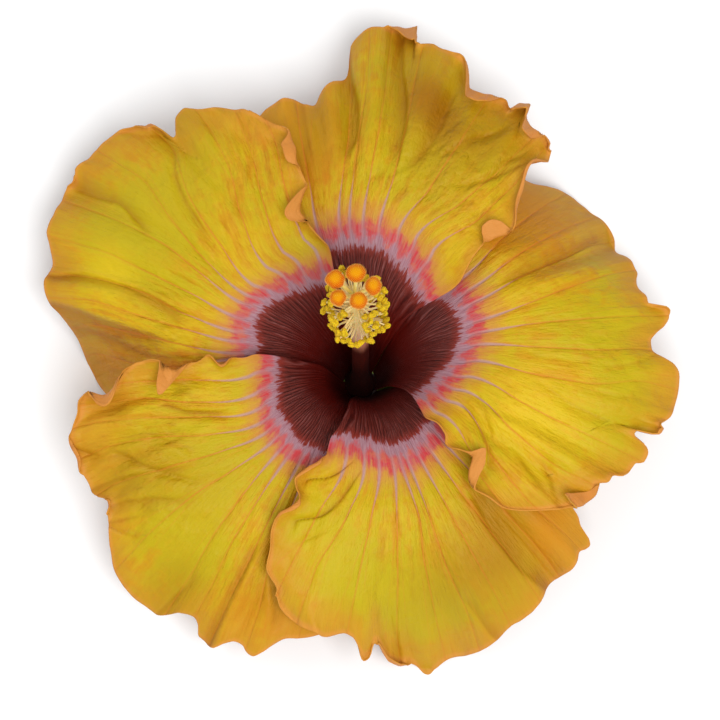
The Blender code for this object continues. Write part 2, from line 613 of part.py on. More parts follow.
def build_branch(pad, pieces):
    """One branch of the style, which leans out to its pad."""
    x, y, z = pad
    path = [(0.1 * x, 0.1 * y, 61.6), (0.28 * x, 0.28 * y, 63.6), (0.7 * x, 0.7 * y, 65.6), pad]
    curve = bpy.data.curves.new("branch", "CURVE")
    curve.dimensions = "3D"
    curve.bevel_depth = BRANCH_RADIUS
    curve.bevel_resolution = 1
    curve.use_fill_caps = True
    spline = curve.splines.new("POLY")
    spline.points.add(len(path) - 1)
    for point, corner in zip(spline.points, path):
        point.co = (*corner, 1.0)
    guide = bpy.data.objects.new("branch_path", curve)
    pieces.objects.link(guide)
    evaluated = guide.evaluated_get(bpy.context.evaluated_depsgraph_get())
    bm = bmesh.new()
    bm.from_mesh(bpy.data.meshes.new_from_object(evaluated))
    bmesh.ops.remove_doubles(bm, verts=bm.verts[:], dist=0.001)
    bmesh.ops.triangulate(bm, faces=bm.faces[:])
    bpy.data.objects.remove(guide, do_unlink=True)
    new_object("branch", bm, pieces)
    bm = bmesh.new()
    flat = Matrix.Diagonal((1, 1, PAD_FLATNESS, 1))
    bmesh.ops.create_uvsphere(bm, u_segments=8, v_segments=5, radius=PAD_RADIUS,
                              matrix=Matrix.Translation(pad) @ flat)
    new_object("pad", bm, pieces)


def build_pistil(collection, material):
    """Ovary and style inside the column, with five branches that each end in a round pad."""
    foot_z = RECEPTACLE_Z + SEAT_GAP
    profile = [(0.0, STYLE_TOP_Z), (STYLE_TOP_RADIUS, STYLE_TOP_Z - 0.2),
               (STYLE_TOP_RADIUS, STYLE_TOP_Z - 1.5), (STYLE_RADIUS, STYLE_TOP_Z - 2.1),
               (STYLE_RADIUS, 48.0), (STYLE_RADIUS, 28.0), (STYLE_RADIUS, OVARY_TOP_Z + 2),
               (OVARY_RADIUS - 0.3, OVARY_TOP_Z - 0.6), (OVARY_RADIUS, 6.0),
               (OVARY_RADIUS, foot_z), (0.0, foot_z)]
    made = turned("pistil", profile, False, 8, collection)
    pieces = new_collection("branches")
    for pad in PADS:
        build_branch(pad, pieces)
    joined(made, pieces)
    place(made.data, column_follow)
    made.data.materials.append(material)
    return made


def build_flower():
    """All pieces of the bloom, in one collection."""
    for old in list(bpy.data.objects):
        bpy.data.objects.remove(old, do_unlink=True)
    flower = new_collection("hibiscus_flower")
    yellow = plain_material("petal_yellow", (0.66, 0.47, 0.03), 0.6)
    cream = plain_material("stamen_yellow", (0.62, 0.5, 0.08), 0.6)
    orange = plain_material("pad_orange", (0.9, 0.3, 0.01), 0.6)
    green = plain_material("cup_green", (0.12, 0.22, 0.03), 0.6)
    for petal in PETALS:
        build_petal(petal, flower, yellow)
    build_column(flower, cream)
    build_pistil(flower, orange)
    build_calyx(flower, green)
    build_epicalyx(flower, green)
    build_pedicel(flower, green)


build_flower()
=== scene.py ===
"""Looks of the tropical hibiscus flower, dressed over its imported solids."""
import math
import random

import bpy
import numpy as np
from mathutils import Matrix, Vector, noise


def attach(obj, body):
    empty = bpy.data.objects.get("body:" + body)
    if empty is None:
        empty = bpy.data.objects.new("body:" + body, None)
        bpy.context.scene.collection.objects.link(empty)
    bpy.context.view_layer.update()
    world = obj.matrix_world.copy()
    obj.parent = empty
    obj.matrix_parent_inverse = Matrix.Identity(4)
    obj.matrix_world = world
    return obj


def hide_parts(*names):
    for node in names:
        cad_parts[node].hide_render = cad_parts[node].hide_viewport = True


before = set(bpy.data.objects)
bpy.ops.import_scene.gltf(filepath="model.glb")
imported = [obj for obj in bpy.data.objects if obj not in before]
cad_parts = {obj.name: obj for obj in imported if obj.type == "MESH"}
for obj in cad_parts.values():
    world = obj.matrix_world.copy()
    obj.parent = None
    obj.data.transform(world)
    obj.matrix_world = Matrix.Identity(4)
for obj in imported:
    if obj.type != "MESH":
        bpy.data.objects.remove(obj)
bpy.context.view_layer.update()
bpy.ops.object.select_all(action="DESELECT")

# Petals. Five thin blades of soft tissue, each grown from a narrow claw on the receptacle, with one
# edge laid over the next petal. Their rims are ruffled and rolled, and veins fan out in grooves.
# Sizes are in millimetres, angles in degrees, azimuths counterclockwise from +X seen from above.
MM = 0.001
AXIS_X = -0.56
AXIS_Y = -2.76
LEAN = 10.0
LEAN_PIVOT_Z = 29.0
LEAN_FADE_RADII = (18.0, 30.0)

# Middle line of an average petal, by the way along it, its slope, its radius and its height
CLAW_RADIUS = 3.8
CLAW_Z = 3.6
PROFILE_STEP = 0.25
PROFILE_SLOPES = [(0, 68), (10, 64), (20, 50), (30, 27), (40, 9), (50, -3), (65, -18), (80, -30),
                  (95, -36), (120, -40)]
ARCS = np.arange(0, PROFILE_SLOPES[-1][0] + PROFILE_STEP, PROFILE_STEP)
SLOPES = np.radians(np.interp(ARCS, *zip(*PROFILE_SLOPES)))
RADII = CLAW_RADIUS + np.concatenate([[0], np.cumsum(np.cos(SLOPES[:-1]))]) * PROFILE_STEP
HEIGHTS = CLAW_Z + np.concatenate([[0], np.cumsum(np.sin(SLOPES[:-1]))]) * PROFILE_STEP

# Blade, how it lies over its neighbour and falls outward, and its folds
PETAL_THICKNESS = 0.3
TWIST_LIFT = [(3.8, 0.45), (8, 0.8), (18, 1.9), (32, 3.0), (90, 3.0)]
FALL_RADIUS = 38.0
FALL_REACH = 37.0
FALL_POWER = 1.6
CREASE_RADIUS = 72.0
FOLD_ONSET = (-12.0, 22.0)
SHOWING_SHARES = (0.10, 0.28)
THROAT_OVERLAP = 6.0
THROAT_RADII = (9.0, 15.0)
EYE_RADIUS = 25.0
ACROSS = 250
ALONG = 158
RIM_CROWDING = 1.15

# Waves, frills and folded flaps of the edges
RUFFLE_LENGTHS = (9.5, 14.0, 22.0)
RUFFLE_SHARES = (0.40, 0.65, 0.55)
RUFFLE_STRETCH = (0.88, 1.12)
RUFFLE_FADE = 1.6
RIM_WAVE = 1.3
RIM_WAVE_DEPTH = 16.0
SIDE_WAVE = 0.9
SIDE_WAVE_DEPTH = 9.0
SIDE_WAVE_RADII = (20.0, 34.0)
FRILL = 0.3
FRILL_DEPTH = 5.0
FRILL_FADE = 1.3
FRILL_LENGTHS = (3.4, 5.2)
FRILL_SHARES = (0.6, 0.7)
FLAP_BEND = 0.55
FLAP_TURN = 171.0
FLAP_SHARES = (0.72, 1.0)
HUMP_SPREAD = 2.6
LEAST_BEND = 1e-6
CALM_SPREAD = 0.08
CALM_SAMPLES = 401
CALM_END = (0.7, 1.0)
RIM_SIDE_RADII = (34.0, 54.0)
RIM_SIDE_FADE = 3.0

# Veins, with the radii at which their azimuths are told, and their two branches
VEIN_RADII = (28.0, 40.0, 52.0, 66.0)
OUTER_VEINS_OFF = 13.0
VEIN_GROOVE = 0.14
VEIN_HALF_WIDTH = 0.5
NO_VEIN = 0.5
NO_VEIN_GAP = 4.0
PUCKER = 0.22
BLADE_ONSET = (-6.0, 15.0)
FORK_STARTS = (0.5, 0.75)
FORK_SPREAD = 0.30
FORK_CURVE = 0.8
SEED_STRIDE = 20

# Crinkles and creases of the tissue
CREPE_LENGTHS = (2.4, 5.0)
CREPE_HEIGHT = 0.13
CREPE_STRETCH = 0.5
CREPE_CALM = 0.16
CREPE_ONSET = 12.0
CREPE_BEND = 1.5
CREPE_BEND_LENGTHS = (8.1, 9.3)
CREPE_CREST = 0.35
CREPE_SLANT = 0.6
CREASE_STARTS = (-2.0, 5.0)
CREASE_STOPS = (-2.0, 4.0)
# The darkness of a crease is painted shade: full at this depth, spread over a share of its reach, and
# fading by a power
CREASE_FULL_DEPTH = 1.1
CREASE_SHADE_SHARE = 0.5
CREASE_SHADE_POWER = 1.5

# Shades of the tissue, each on a petal's upper and on its lower side
PETAL_TINTS = {
    "yellow": [(211, 172, 5), (208, 140, 50)],
    "green": [(198, 171, 5), (204, 136, 44)],
    "orange": [(204, 138, 8), (204, 122, 38)],
    "streak_light": [(224, 196, 36), (220, 152, 70)],
    "streak_dark": [(188, 124, 6), (190, 108, 30)],
    "lime": [(190, 173, 2), (206, 140, 44)],
    "amber": [(203, 126, 8), (200, 120, 34)],
    # Olive, bright and deep are the colours of painted shade and painted light: for the creases, the
    # crinkles and the tones
    "olive": [(178, 140, 2), (180, 104, 20)],
    "bright": [(232, 200, 24), (232, 200, 24)],
    "deep": [(160, 94, 0), (158, 78, 6)],
    "rim": [(202, 142, 30), (210, 136, 54)],
    "edge": [(220, 146, 62), (216, 144, 64)],
    "vein": [(212, 116, 36), (222, 134, 86)],
    "vein_root": [(186, 150, 146), (210, 156, 124)],
    "apricot": [(204, 124, 74), (204, 124, 74)],
    "pink": [(202, 48, 68), (206, 110, 80)],
    "pink_pale": [(194, 92, 98), (206, 124, 90)],
    "pink_warm": [(206, 116, 84), (206, 116, 84)],
    "lilac": [(176, 138, 147), (194, 130, 104)],
    "lilac_deep": [(160, 108, 121), (186, 120, 96)],
    "maroon": [(131, 56, 48), (150, 74, 58)],
    "maroon_deep": [(94, 32, 26), (130, 60, 48)],
    "eye_rim": [(148, 44, 30), (148, 44, 30)],
    # Painted shade for the valleys of the eye's ribs, and painted highlights for their crests
    "painted_rib_shade": [(52, 10, 8), (52, 10, 8)],
    "painted_rib_highlight": [(164, 104, 100), (164, 104, 100)],
    "throat": [(96, 12, 4), (96, 12, 4)],
    # Near black painted shade at the bottom of the throat
    "throat_bottom_painted_shade": [(40, 4, 2), (40, 4, 2)],
}

# Patterns of the tissue. Some are drawn out along the blade and told by how fine they are across it
# and outward, the others by their scale. Detail and roughness follow.
STREAKS = (3.2, 0.055, 3.0, 0.62)
FINE_STREAKS = (11.0, 0.16, 2.0, 0.6)
FOLDING = (3.0, 0.16, 3.0, 0.6)
STROKES = (1.7, 0.12, 2.0, 0.6)
HAIRS = (4.6, 0.3, 1.0, 0.5)
BLOTS = (0.6, 0.34, 3.0, 0.7)
EYE_GRAIN = (3.0, 0.10, 3.0, 0.7)
RIB_WANDER = (1.6, 0.13, 2.0, 0.5)
RIB_PATCHES = (0.9, 0.16, 2.0, 0.5)
CLOUDS = (62.0, 3.0, 0.55)
MOTTLE = (300.0, 3.0, 0.6)
SPECKLES = (300.0, 2.0, 0.5)

# Steps that build up the colours, each by what it follows, where it starts and is full, how much it
# then covers, and its tint
BLADE_STEPS = [
    ("cloud", 0.40, 0.64, 1.0, "green"),
    ("warm", 0.45, 0.60, 0.62, "orange"),
    ("fine", 0.5, 0.75, 0.36, "streak_light"),
    ("fine", 0.47, 0.3, 0.32, "streak_dark"),
    # Greener fields, and amber ones, which where petals overlap are partly the tissue's own tone and
    # partly painted glow
    ("greening", 0.05, 0.95, 0.72, "lime"),
    ("greening", -0.1, -1.0, 0.85, "amber"),
    # Painted glow: orange where petals overlap or fold over
    ("blushing", 0.1, 0.95, 0.7, "orange"),
    ("ragged_edge", 12.0, 0.0, 0.75, "rim"),
    ("edge", 1.5, 0.2, 0.6, "edge"),
]
# Painted shading over the blade: shade in its creases, then the tones' darker and lighter patches
PAINTED_SHADING_STEPS = [
    ("painted_crease_shade", 0.12, 1.0, 0.62, "deep"),
    ("toned", -0.05, -0.6, 0.6, "olive"),
    ("toned", -0.5, -1.2, 0.75, "deep"),
    ("toned", 0.1, 1.0, 0.6, "bright"),
]
PINK_STEPS = [
    ("strokes", 0.36, 0.62, 1.0, "pink_pale"),
    ("mottle", 0.5, 0.66, 0.5, "pink_warm"),
]
LILAC_STEPS = [
    ("hairs", 0.30, 0.70, 0.8, "lilac_deep"),
]
# The eye's own deeper red toward the throat, then near black painted shade at its bottom
THROAT_STEPS = [
    ("outward", 19.0, 11.0, 0.85, "throat"),
    ("outward", 11.0, 6.0, 0.85, "throat_bottom_painted_shade"),
]

# How much patterns sway what a colour follows: the streaks and mottle the greener fields, the clouds
# and streaks the rim, the strokes, hairs and blots the eye and its bands
WARM_SHARES = (0.62, 0.38)
GREEN_SWAY = (-1.3, -0.9)
GREEN_OFFSET = 0.08
PAINTED_GLOW_SWAY = 0.9
RIM_SWAY = (14.0, 12.0)
PAINTED_CREASE_SHADE_SWAY = 0.35
PAINTED_SHADING_SWAY = 0.4
JAG_SWAY = (5.0, 2.4)
EYE_BLOTS = 3.2
EYE_SPAN = (0.5, -0.4)
BAND_BLOTS = 1.0
BAND_JAG = 0.06
BAND_OFFSET = 0.1

# Bands round the eye, by the share of the halo's width they start and are full at, and how much
# further out they reach between the veins
APRICOT_SPAN = (2.1, 0.95, 0.6)
PINK_SPAN = (1.2, 0.69, 0.93)
LILAC_SPAN = (0.75, 0.34, 0.95)
PINK_SPIKES = (0.0, 2.2, 0.24)
LILAC_SPIKES = (0.1, 1.5, 0.26)

# Veins, how they fade outward, their branches, and their lilac roots beside the eye
VEIN_WIDTHS = (0.36, 0.08)
VEIN_START = (4.0, 12.0)
VEIN_FADE = (44.0, 18.0, 0.36)
VEIN_LEAST = 0.20
BRANCH_WIDTHS = (0.26, 0.06)
BRANCH_BREAKS = (0.3, 0.6, 0.5)
BRANCH_OPENING = 0.06
ROOT_REACH = (23.0, 2.0)
ROOT_HALF_WIDTH = 0.76
ROOT_LEAST_WIDTH = 0.001
ROOT_SPAN = (1.0, 0.12)
ROOT_FADE = (21.0, 9.0, 0.8)
ROOT_IN_BANDS = (0.6, 1.3, 0.55)
ROOT_LEAST = 0.45

# Dark eye, its grain, its rim, and its ribs with painted shade in their dark valleys and painted
# highlights on their pale crests
GRAIN_SPAN = (0.36, 0.64)
EYE_RIM_SPAN = (-2.6, 0.2, 0.7)
RIBS_PER_VEIN = 3.0
RIB_SWAY = 1.6
RIB_SPAN = (0.34, 0.0)
PAINTED_RIB_SHADE_SPAN = (0.16, 0.30)
PAINTED_RIB_SHADE_REACH = (1.0, -3.0, 0.75)
PAINTED_HIGHLIGHT_SPAN = (0.14, 0.02)
PAINTED_HIGHLIGHT_REACH = (0.0, -3.0)
PAINTED_HIGHLIGHT_PATCHES = (0.40, 0.62, 0.55)

# Relief and surface of the tissue
# Painted shade in the crinkles: where the folding pattern starts and is full, then where the crinkles
# start and are full and how much it covers
PAINTED_WRINKLE_SHADE_SPAN = (0.50, 0.30)
PAINTED_WRINKLE_SHADE_CRINKLES = (0.2, 1.1, 0.34)
GROOVE_RELIEF = 0.5
RIB_RELIEF = (0.5, -2.5, 2.4)
GRAIN_RELIEF = (2.0, -2.0, 3.2)
GRAIN_LEAST_RELIEF = 1.2
FINE_RELIEF = 0.8
MOTTLE_RELIEF = 1.5
LONG_WRINKLES = 1.9
ROUND_WRINKLES = 0.9
LEAST_CRINKLES = 0.2
RIB_DEPTH = 0.3
RIB_STRENGTH = 0.6
WRINKLE_DEPTH = 0.9
WRINKLE_STRENGTH = 0.5
EYE_GLOSS_SPAN = (-1.0, 1.0)
EYE_ROUGHNESS = 0.32
BLADE_ROUGHNESS = 0.56
PETAL_SHEEN = 0.26
LIGHT_THROUGH = 0.22

# Each petal's own lines and places. Its two side edges are told as radius and azimuth, its margin and
# the height of its fall as azimuth and amount. A fold is an azimuth, a half width, a height and the
# radius it starts at. A curl is a place on the edge, a half width, a reach and a turn. A flap is a
# place on the edge and the width of the tissue that is folded back there. The eye and the halo are
# told by the share across. A crease is a line of radius and azimuth, a depth, a width and a reach.
# Tones, greens, crinkles and blushes are soft spots, each an azimuth, a radius, a size and a strength.
# Tones are painted shading: lighter or darker spots that stand in for light and shade on the blade.
# Blushes are painted glow and shade: orange where light shines through and bounces between petals
# that overlap or fold over. Greens turn the tissue greener, or amber where negative; the amber ones
# lie where petals overlap, partly the tissue's own tone and partly painted glow.
PETALS = [
    {
        "name": "petal_upper_left",
        "free_edge": [(3.8, 117), (8, 117), (14, 111), (20, 108.5), (24.5, 107.5),
                      (27, 109.5), (30, 112.6), (33, 113.5), (36, 111), (39, 108.8), (43, 109.4),
                      (47, 106.5), (50, 107), (54, 111), (58, 114), (60, 115.3)],
        "hidden_edge": [(3.8, 179), (8, 180), (14, 192), (22, 199), (40, 201), (60, 199)],
        "margin": [(199, 51), (195, 56), (190, 60.5), (185, 64), (180, 66.6), (175, 68.8),
                   (171.5, 72.5), (169.8, 75), (167, 76), (163.5, 77), (160, 78.4), (158, 79.6),
                   (155, 79.8), (152, 80.5), (150, 81.5), (147.8, 80.2), (146.2, 81.2),
                   (143.5, 79.8), (140.7, 79.6), (138, 78.6), (136.3, 77), (134, 73.8),
                   (133.2, 72.6), (132.6, 72.6), (131.9, 70.6), (131.3, 66.6), (130.7, 66.4),
                   (129.6, 67.6), (127.8, 69.4), (126, 69.6), (124.8, 68.4), (122.8, 66.5), (120, 64.8),
                   (117.6, 61.8), (116.2, 60.6), (115.4, 59.6)],
        "fall": [(100, 0), (150, 1), (164, 0), (170, 3), (176, 27), (181, 37.8), (190, 38),
                 (205, 34)],
        "crease_turn": 0.18,
        "folds": [(163, 2.6, -1.6, 45), (167, 2.6, 1.6, 42), (150, 2.0, -0.8, 38),
                  (131, 2.2, -1.3, 45), (126, 2.6, 1.0, 45), (148, 2.2, -1.2, 64),
                  (156, 3.5, 0.8, 45), (119, 2.5, -0.8, 40)],
        "side_curls": [(27, 3.0, 2.5, 70), (34, 4.0, 3.5, 70), (48, 4.5, 4.5, 90)],
        "rim_curls": [(133, 1.8, 3.0, 70), (148.5, 2.5, 3.0, 50)],
        "side_flaps": [(30.4, 0), (32, 4.2), (34, 3.9), (37, 2.2), (39.5, 0.3), (42, 0.4), (44, 3.0),
                       (47, 3.4), (50, 1.0), (54, 0.4)],
        "flap_skew": [(0, 0.0), (90, 0.0)],
        "rim_flaps": [(112, 0), (131.2, 0), (132, 2.4), (133.6, 2.6), (134.8, 0.6), (136, 1.2),
                      (138, 0), (146.8, 0), (148.2, 1.6), (150, 0), (170, 0)],
        "seed": 11,
        "tones": [(171, 66, 7, -0.6), (180, 54, 5, -0.3), (165, 62, 9, 1.0), (174, 46, 8, 0.4),
                  (148, 74, 8, -0.3), (128, 64, 14, -0.35), (146, 46, 12, -0.15)],
        "greens": [(152, 64, 12, 1.0), (143, 54, 10, 0.6), (130, 56, 9, 0.5), (156, 52, 9, 0.5),
                   (180, 60, 12, -1.0), (172, 46, 8, 0.9), (165, 60, 8, 0.6),
                   (187, 42, 10, -0.9), (113, 55, 9, -0.7)],
        "eye": [(0, 23), (0.16, 23.1), (0.22, 22.8), (0.36, 24.4), (0.43, 23.9), (0.52, 22.6),
                (0.62, 20.7), (0.74, 19.2), (0.89, 18), (1, 17.6)],
        "halo": [(0, 7), (0.55, 5), (1, 4.6)],
        "veins": [(192, 194, 192, 187), (185.8, 186.8, 183.2, 178), (183.3, 180.1, 175.8, 173.3),
                  (177.9, 174.8, 171.8, 169.3), (173.5, 170, 165.7, 164.5),
                  (167.1, 163.1, 160.5, 158.8), (160.3, 155.8, 152.3, 151.7),
                  (156, 151.4, 146.1, 141.5), (150.5, 144, 138.8, 132.5),
                  (140, 132.8, 125.8, 124), (129.5, 124, 119, 117.5), (118, 115.5, 112.5, 112.5)],
        "creases": [
            ([(40, 169.5), (48, 166.9), (53, 165.3), (59, 164.5), (67, 163.9),
              (76, 165)], 1.5, 1.0, 7),
            ([(45, 178.3), (50, 176.3), (55, 174.8), (62, 172.6), (69, 170.8),
              (76, 169.8)], 1.7, 0.9, 8),
            ([(46, 177.6), (52, 175.3), (60, 172.9), (70, 170.4), (76, 169.6)], 0.9, 0.6, 2.8),
            ([(37, 184.6), (41, 183.6), (45.6, 182.4), (51.2, 180.3), (55, 177.8), (59.2, 175.7),
              (64, 174), (70, 172.8)], 1.5, 0.7, 4.2),
            ([(45, 175.8), (50.5, 176), (53.6, 175.8), (56.2, 175)], 0.45, 0.7, 1.8),
            ([(57, 174.6), (61, 173.8), (66, 172.4)], 0.4, 0.6, 1.6),
            ([(57, 181.3), (61.4, 179.4), (65, 179.4)], 0.7, 0.7, 2.0),
            ([(40, 175.5), (44, 178.1), (48, 179.1), (56, 178.6)], 0.5, 0.7, 2.5),
            ([(56, 151.6), (60, 150.4), (67, 148.5), (73, 149.1), (80, 149.2)], 0.9, 1.2, -5),
            ([(42, 143.6), (48, 141.4), (53, 139.3), (58, 136.4), (63, 132.8),
              (70, 131)], 0.8, 0.8, 3.5),
            ([(38, 159.8), (42, 158.9), (46, 158.3)], 0.6, 0.9, 2.2),
            ([(42, 168.5), (44, 166.1), (46.5, 164.3)], 0.5, 0.9, 2),
            ([(37, 152.8), (39.5, 148.8), (42, 145.8)], 0.5, 0.8, -2),
            ([(38, 144.5), (40, 141.1), (42.5, 138.5)], 0.5, 0.8, -2),
            ([(56.5, 184.2), (61, 182), (66, 182)], 0.8, 0.7, 2.2),
            ([(57, 187.5), (62, 185), (67, 184.4)], 0.7, 0.7, 2.2),
        ],
        "crepe": [(118, 45, 14, 0.6), (178, 52, 14, 1.0), (135, 50, 14, 0.3)],
        "blush": [(186, 58, 18, 0.4), (112, 46, 10, 0.6), (134, 70, 9, 0.5), (149, 74, 8, 0.5)],
    },
    {
        "name": "petal_top",
        "free_edge": [(3.8, 45), (8, 45), (14, 38), (17, 35.5), (19.3, 33), (22, 31.2),
                      (25.2, 30.5), (27.5, 31.5), (30, 34.4), (33.5, 37.4), (36, 38.2),
                      (38.5, 37), (41.4, 36.2), (44, 37.8), (46.5, 40.4), (50, 42.6),
                      (54, 45.8), (58, 44.8), (61, 45.3), (64, 46.6)],
        "hidden_edge": [(3.8, 107), (8, 108), (14, 114), (22, 120), (40, 122), (60, 127)],
        "margin": [(127, 51), (123, 54), (119, 57.5), (115, 60), (112.5, 62.5), (110.3, 63.5),
                   (108, 63.6), (105, 63), (102.5, 61.7), (100.3, 61.3), (98.6, 63), (96, 65),
                   (93.6, 66.5), (92.5, 68.5), (92, 73), (91.6, 76.7), (90, 78.7), (87.9, 80),
                   (85.2, 80.3), (83, 81.4), (80.4, 82), (79.8, 76), (77.5, 76.3),
                   (75.5, 75.4), (73, 75.7), (71.2, 75.3), (70, 73.8), (69, 71.3),
                   (67.4, 66.7), (65, 65.5), (62.8, 66.4), (60.3, 68), (58.7, 66.2),
                   (57.4, 68), (55.8, 68), (54.8, 64.6), (53, 63.9), (50, 64.4), (48, 63.8),
                   (46.8, 62.6)],
        "fall": [(30, 2), (60, 3), (80, 1), (92, 3), (110, 5), (130, 6)],
        "crease_turn": 0.0,
        "folds": [(81.5, 3.0, -1.6, 45), (87.5, 3.6, 1.2, 45), (76, 3.2, 0.9, 48),
                  (69.5, 3.2, -1.6, 42), (64.5, 2.4, 0.9, 45), (60, 2.6, -1.1, 48),
                  (100.5, 1.8, -1.3, 44), (92.5, 2.0, -1.2, 42), (106, 3.0, 1.0, 45),
                  (50.5, 1.8, -1.2, 52), (55, 2.2, 1.0, 50), (96.5, 2.0, 0.8, 44)],
        "side_curls": [(39, 3.4, 3.0, 70), (50, 4.5, 2.5, 70), (57, 3.5, 4.0, 90)],
        "side_flaps": [(36, 0), (37.6, 4.2), (39.6, 4.6), (41.4, 3.8), (43, 0.6), (44.5, 1.4),
                       (50, 1.6), (53, 1.3), (55, 0.8), (60.5, 0.4), (64, 0.4)],
        "flap_skew": [(0, 0.0), (90, 0.0)],
        "rim_flaps": [(44, 0.8), (46.5, 2.0), (48.3, 2.2), (49.5, 1.6), (51, 5.2), (53.6, 5.8),
                      (54.9, 1.6), (56, 4.4), (57.8, 4.4), (59, 0.8), (61, 1.2), (63, 5.0),
                      (67, 5.4), (69.4, 3.4), (71, 1.0), (73, 0.6), (79, 0), (79.7, 0.8),
                      (80.5, 9.0), (82, 6.6), (84.4, 2.6), (86.5, 0), (100, 0)],
        "rim_curls": [(80.9, 2.4, 3.6, 70), (66, 5.5, 3.0, 80), (56.6, 2.2, 3.2, 70),
                      (52.5, 3.0, 3.0, 80)],
        "seed": 23,
        "tones": [(75, 61, 9, -0.9), (66, 53, 11, -0.6), (81, 70, 8, -0.4), (95, 54, 9, -0.4),
                  (56, 58, 7, -0.5), (108, 50, 12, -0.35), (62, 38, 10, -0.25)],
        "greens": [(84, 42, 10, 0.4), (66, 44, 10, 0.4), (108, 46, 14, -1.0), (104, 56, 9, -0.7),
                   (54, 63, 8, -0.7), (76, 55, 9, 0.3)],
        "eye": [(0, 23), (0.3, 23.4), (0.45, 23.2), (0.6, 21.4), (0.74, 20.1), (0.85, 19.2), (1, 18.8)],
        "halo": [(0, 6), (0.4, 6.4), (0.7, 6.2), (1, 4.4)],
        "veins": [(117, 117, 118, 119), (109.5, 107, 105.5, 104), (99.4, 95.8, 92.9, 92),
                  (94.7, 92.1, 89.9, 88.4), (88.6, 86.6, 85.1, 84.6), (80.9, 78.8, 78.2, 78.6),
                  (71.4, 66, 64.2, 63.5), (62.5, 54.5, 51.8, 51), (52.2, 46.5, 46.4, 48)],
        "creases": [
            ([(44, 93.2), (50, 90.6), (56, 90.1), (66, 91.2), (76, 91.6)], 1.4, 1.1, 8),
            ([(44, 78.5), (51.6, 78.4), (58.5, 79), (64.7, 80.3), (70, 81.4), (80, 82)], 1.4, 0.9, 6),
            ([(41, 73.7), (48, 71), (56, 69.8), (66, 69.6)], 1.2, 1.6, 5.5),
            ([(45.8, 68.4), (50.6, 65.9), (55.6, 62.1), (62, 57.5)], 0.9, 0.8, -3.5),
            ([(43, 55), (47.6, 52.2), (53, 48.9), (60, 45)], 0.8, 0.7, 3),
            ([(41, 64.1), (43.6, 59), (47.2, 55.2), (53.5, 52.5)], 0.6, 0.7, -2.8),
            ([(48.8, 56.4), (52.8, 53.4), (61, 49.9)], 0.6, 0.7, -2.6),
            ([(45, 104), (54, 103.2), (62, 102.4)], 0.8, 1.2, 5),
            ([(46, 84.5), (56, 84.2), (68, 85.4)], 0.4, 1.2, -3),
        ],
        "crepe": [(66, 50, 13, 1.1), (52, 42, 12, 0.7), (80, 40, 12, 0.5)],
        "blush": [(106, 54, 14, 0.85), (81, 78, 8, 0.5), (58, 66, 8, 0.6), (41, 40, 6, 0.7)],
    },
    {
        "name": "petal_right",
        "free_edge": [(3.8, -27), (8, -27), (14, -37), (18, -42), (21.5, -46.5), (24, -48.5),
                      (27, -47), (29.5, -47.5), (31, -50), (34.5, -49.3), (37, -48.5),
                      (39, -51.4), (42, -53), (45.3, -51.6), (48.2, -50.4), (51.5, -47),
                      (54.6, -43), (57, -40), (60, -37)],
        "hidden_edge": [(3.8, 35), (8, 36), (14, 42), (22, 46), (40, 54), (60, 60)],
        "margin": [(60, 54), (55, 57), (50, 59.5), (46, 61), (43.5, 64), (41.5, 66.2),
                   (39, 67.6), (36, 68.4), (33, 69.2), (30, 70), (27, 70.4), (24, 69.8),
                   (21, 69), (19, 68.4), (17.3, 68.8), (15.8, 68), (14, 67.4), (11.6, 68.4),
                   (10, 68), (9.2, 69.6), (8.6, 71.8), (7, 72.2), (5.3, 71.2), (3.8, 69.2),
                   (2.4, 67.8), (0.2, 67.8), (-1.2, 70), (-2.4, 72.4), (-4.4, 73.4),
                   (-7, 73.6), (-9.7, 73), (-12.2, 72), (-14.2, 69.6), (-15, 71.2),
                   (-15.8, 71.2), (-16.4, 69.6), (-16.9, 65.2), (-17.8, 64.9), (-18.5, 68.4),
                   (-20, 69.4), (-21.5, 69.2), (-22.4, 67.6), (-24.2, 67.3), (-25.8, 66),
                   (-26.8, 63.6), (-28.5, 62.9), (-30, 61), (-32.5, 62), (-35, 61.4), (-36.8, 60)],
        "fall": [(-60, 0), (-20, 1), (0, 2), (10, 5), (20, 17), (28, 27), (36, 29.5), (46, 29),
                 (62, 27)],
        "crease_turn": 0.0,
        "folds": [(24, 2.4, -1.5, 36), (19, 2.6, 1.0, 38), (31, 3.0, 0.8, 42),
                  (1, 2.6, -0.9, 58), (-5, 3.6, 0.9, 52), (-16.5, 2.0, -1.6, 54),
                  (-11.5, 2.6, 0.8, 50), (-25, 2.6, -1.0, 34), (-29.5, 2.4, 1.2, 30),
                  (-35, 2.2, -1.2, 28), (-41, 2.6, 1.0, 24), (8, 2.6, 0.7, 55)],
        "side_curls": [(36, 3.4, 4.2, 80), (46, 6.0, 2.6, 60), (27, 3.0, 2.0, 50)],
        "rim_curls": [(-15.6, 2.0, 5.5, 80), (8.6, 2.4, 2.5, 60), (-36, 4.0, 3.0, 50)],
        "side_flaps": [(26, 0.3), (34.6, 0.3), (36.2, 1.0), (37.6, 4.6), (39.4, 5.4), (41.2, 3.2),
                       (42.8, 0.5), (60, 0.8)],
        "flap_skew": [(0, 0.0), (36, -0.2), (45, -0.2), (48, 0.0), (90, 0.0)],
        "rim_flaps": [(-43, 0.4), (-41.4, 1.0), (-39.6, 6.0), (-36.4, 6.8), (-33.6, 4.8),
                      (-31, 2.4), (-29.6, 0.4), (-17, 0.3), (-15.4, 1.8), (-13.5, 0.3),
                      (7, 0), (8.6, 1.0), (10, 0), (30, 0)],
        "seed": 37,
        "tones": [(-19, 52, 12, 0.45), (-27, 38, 12, 0.7), (30, 44, 8, -0.3), (-36, 65, 6, -0.35),
                  (9, 60, 9, 0.3)],
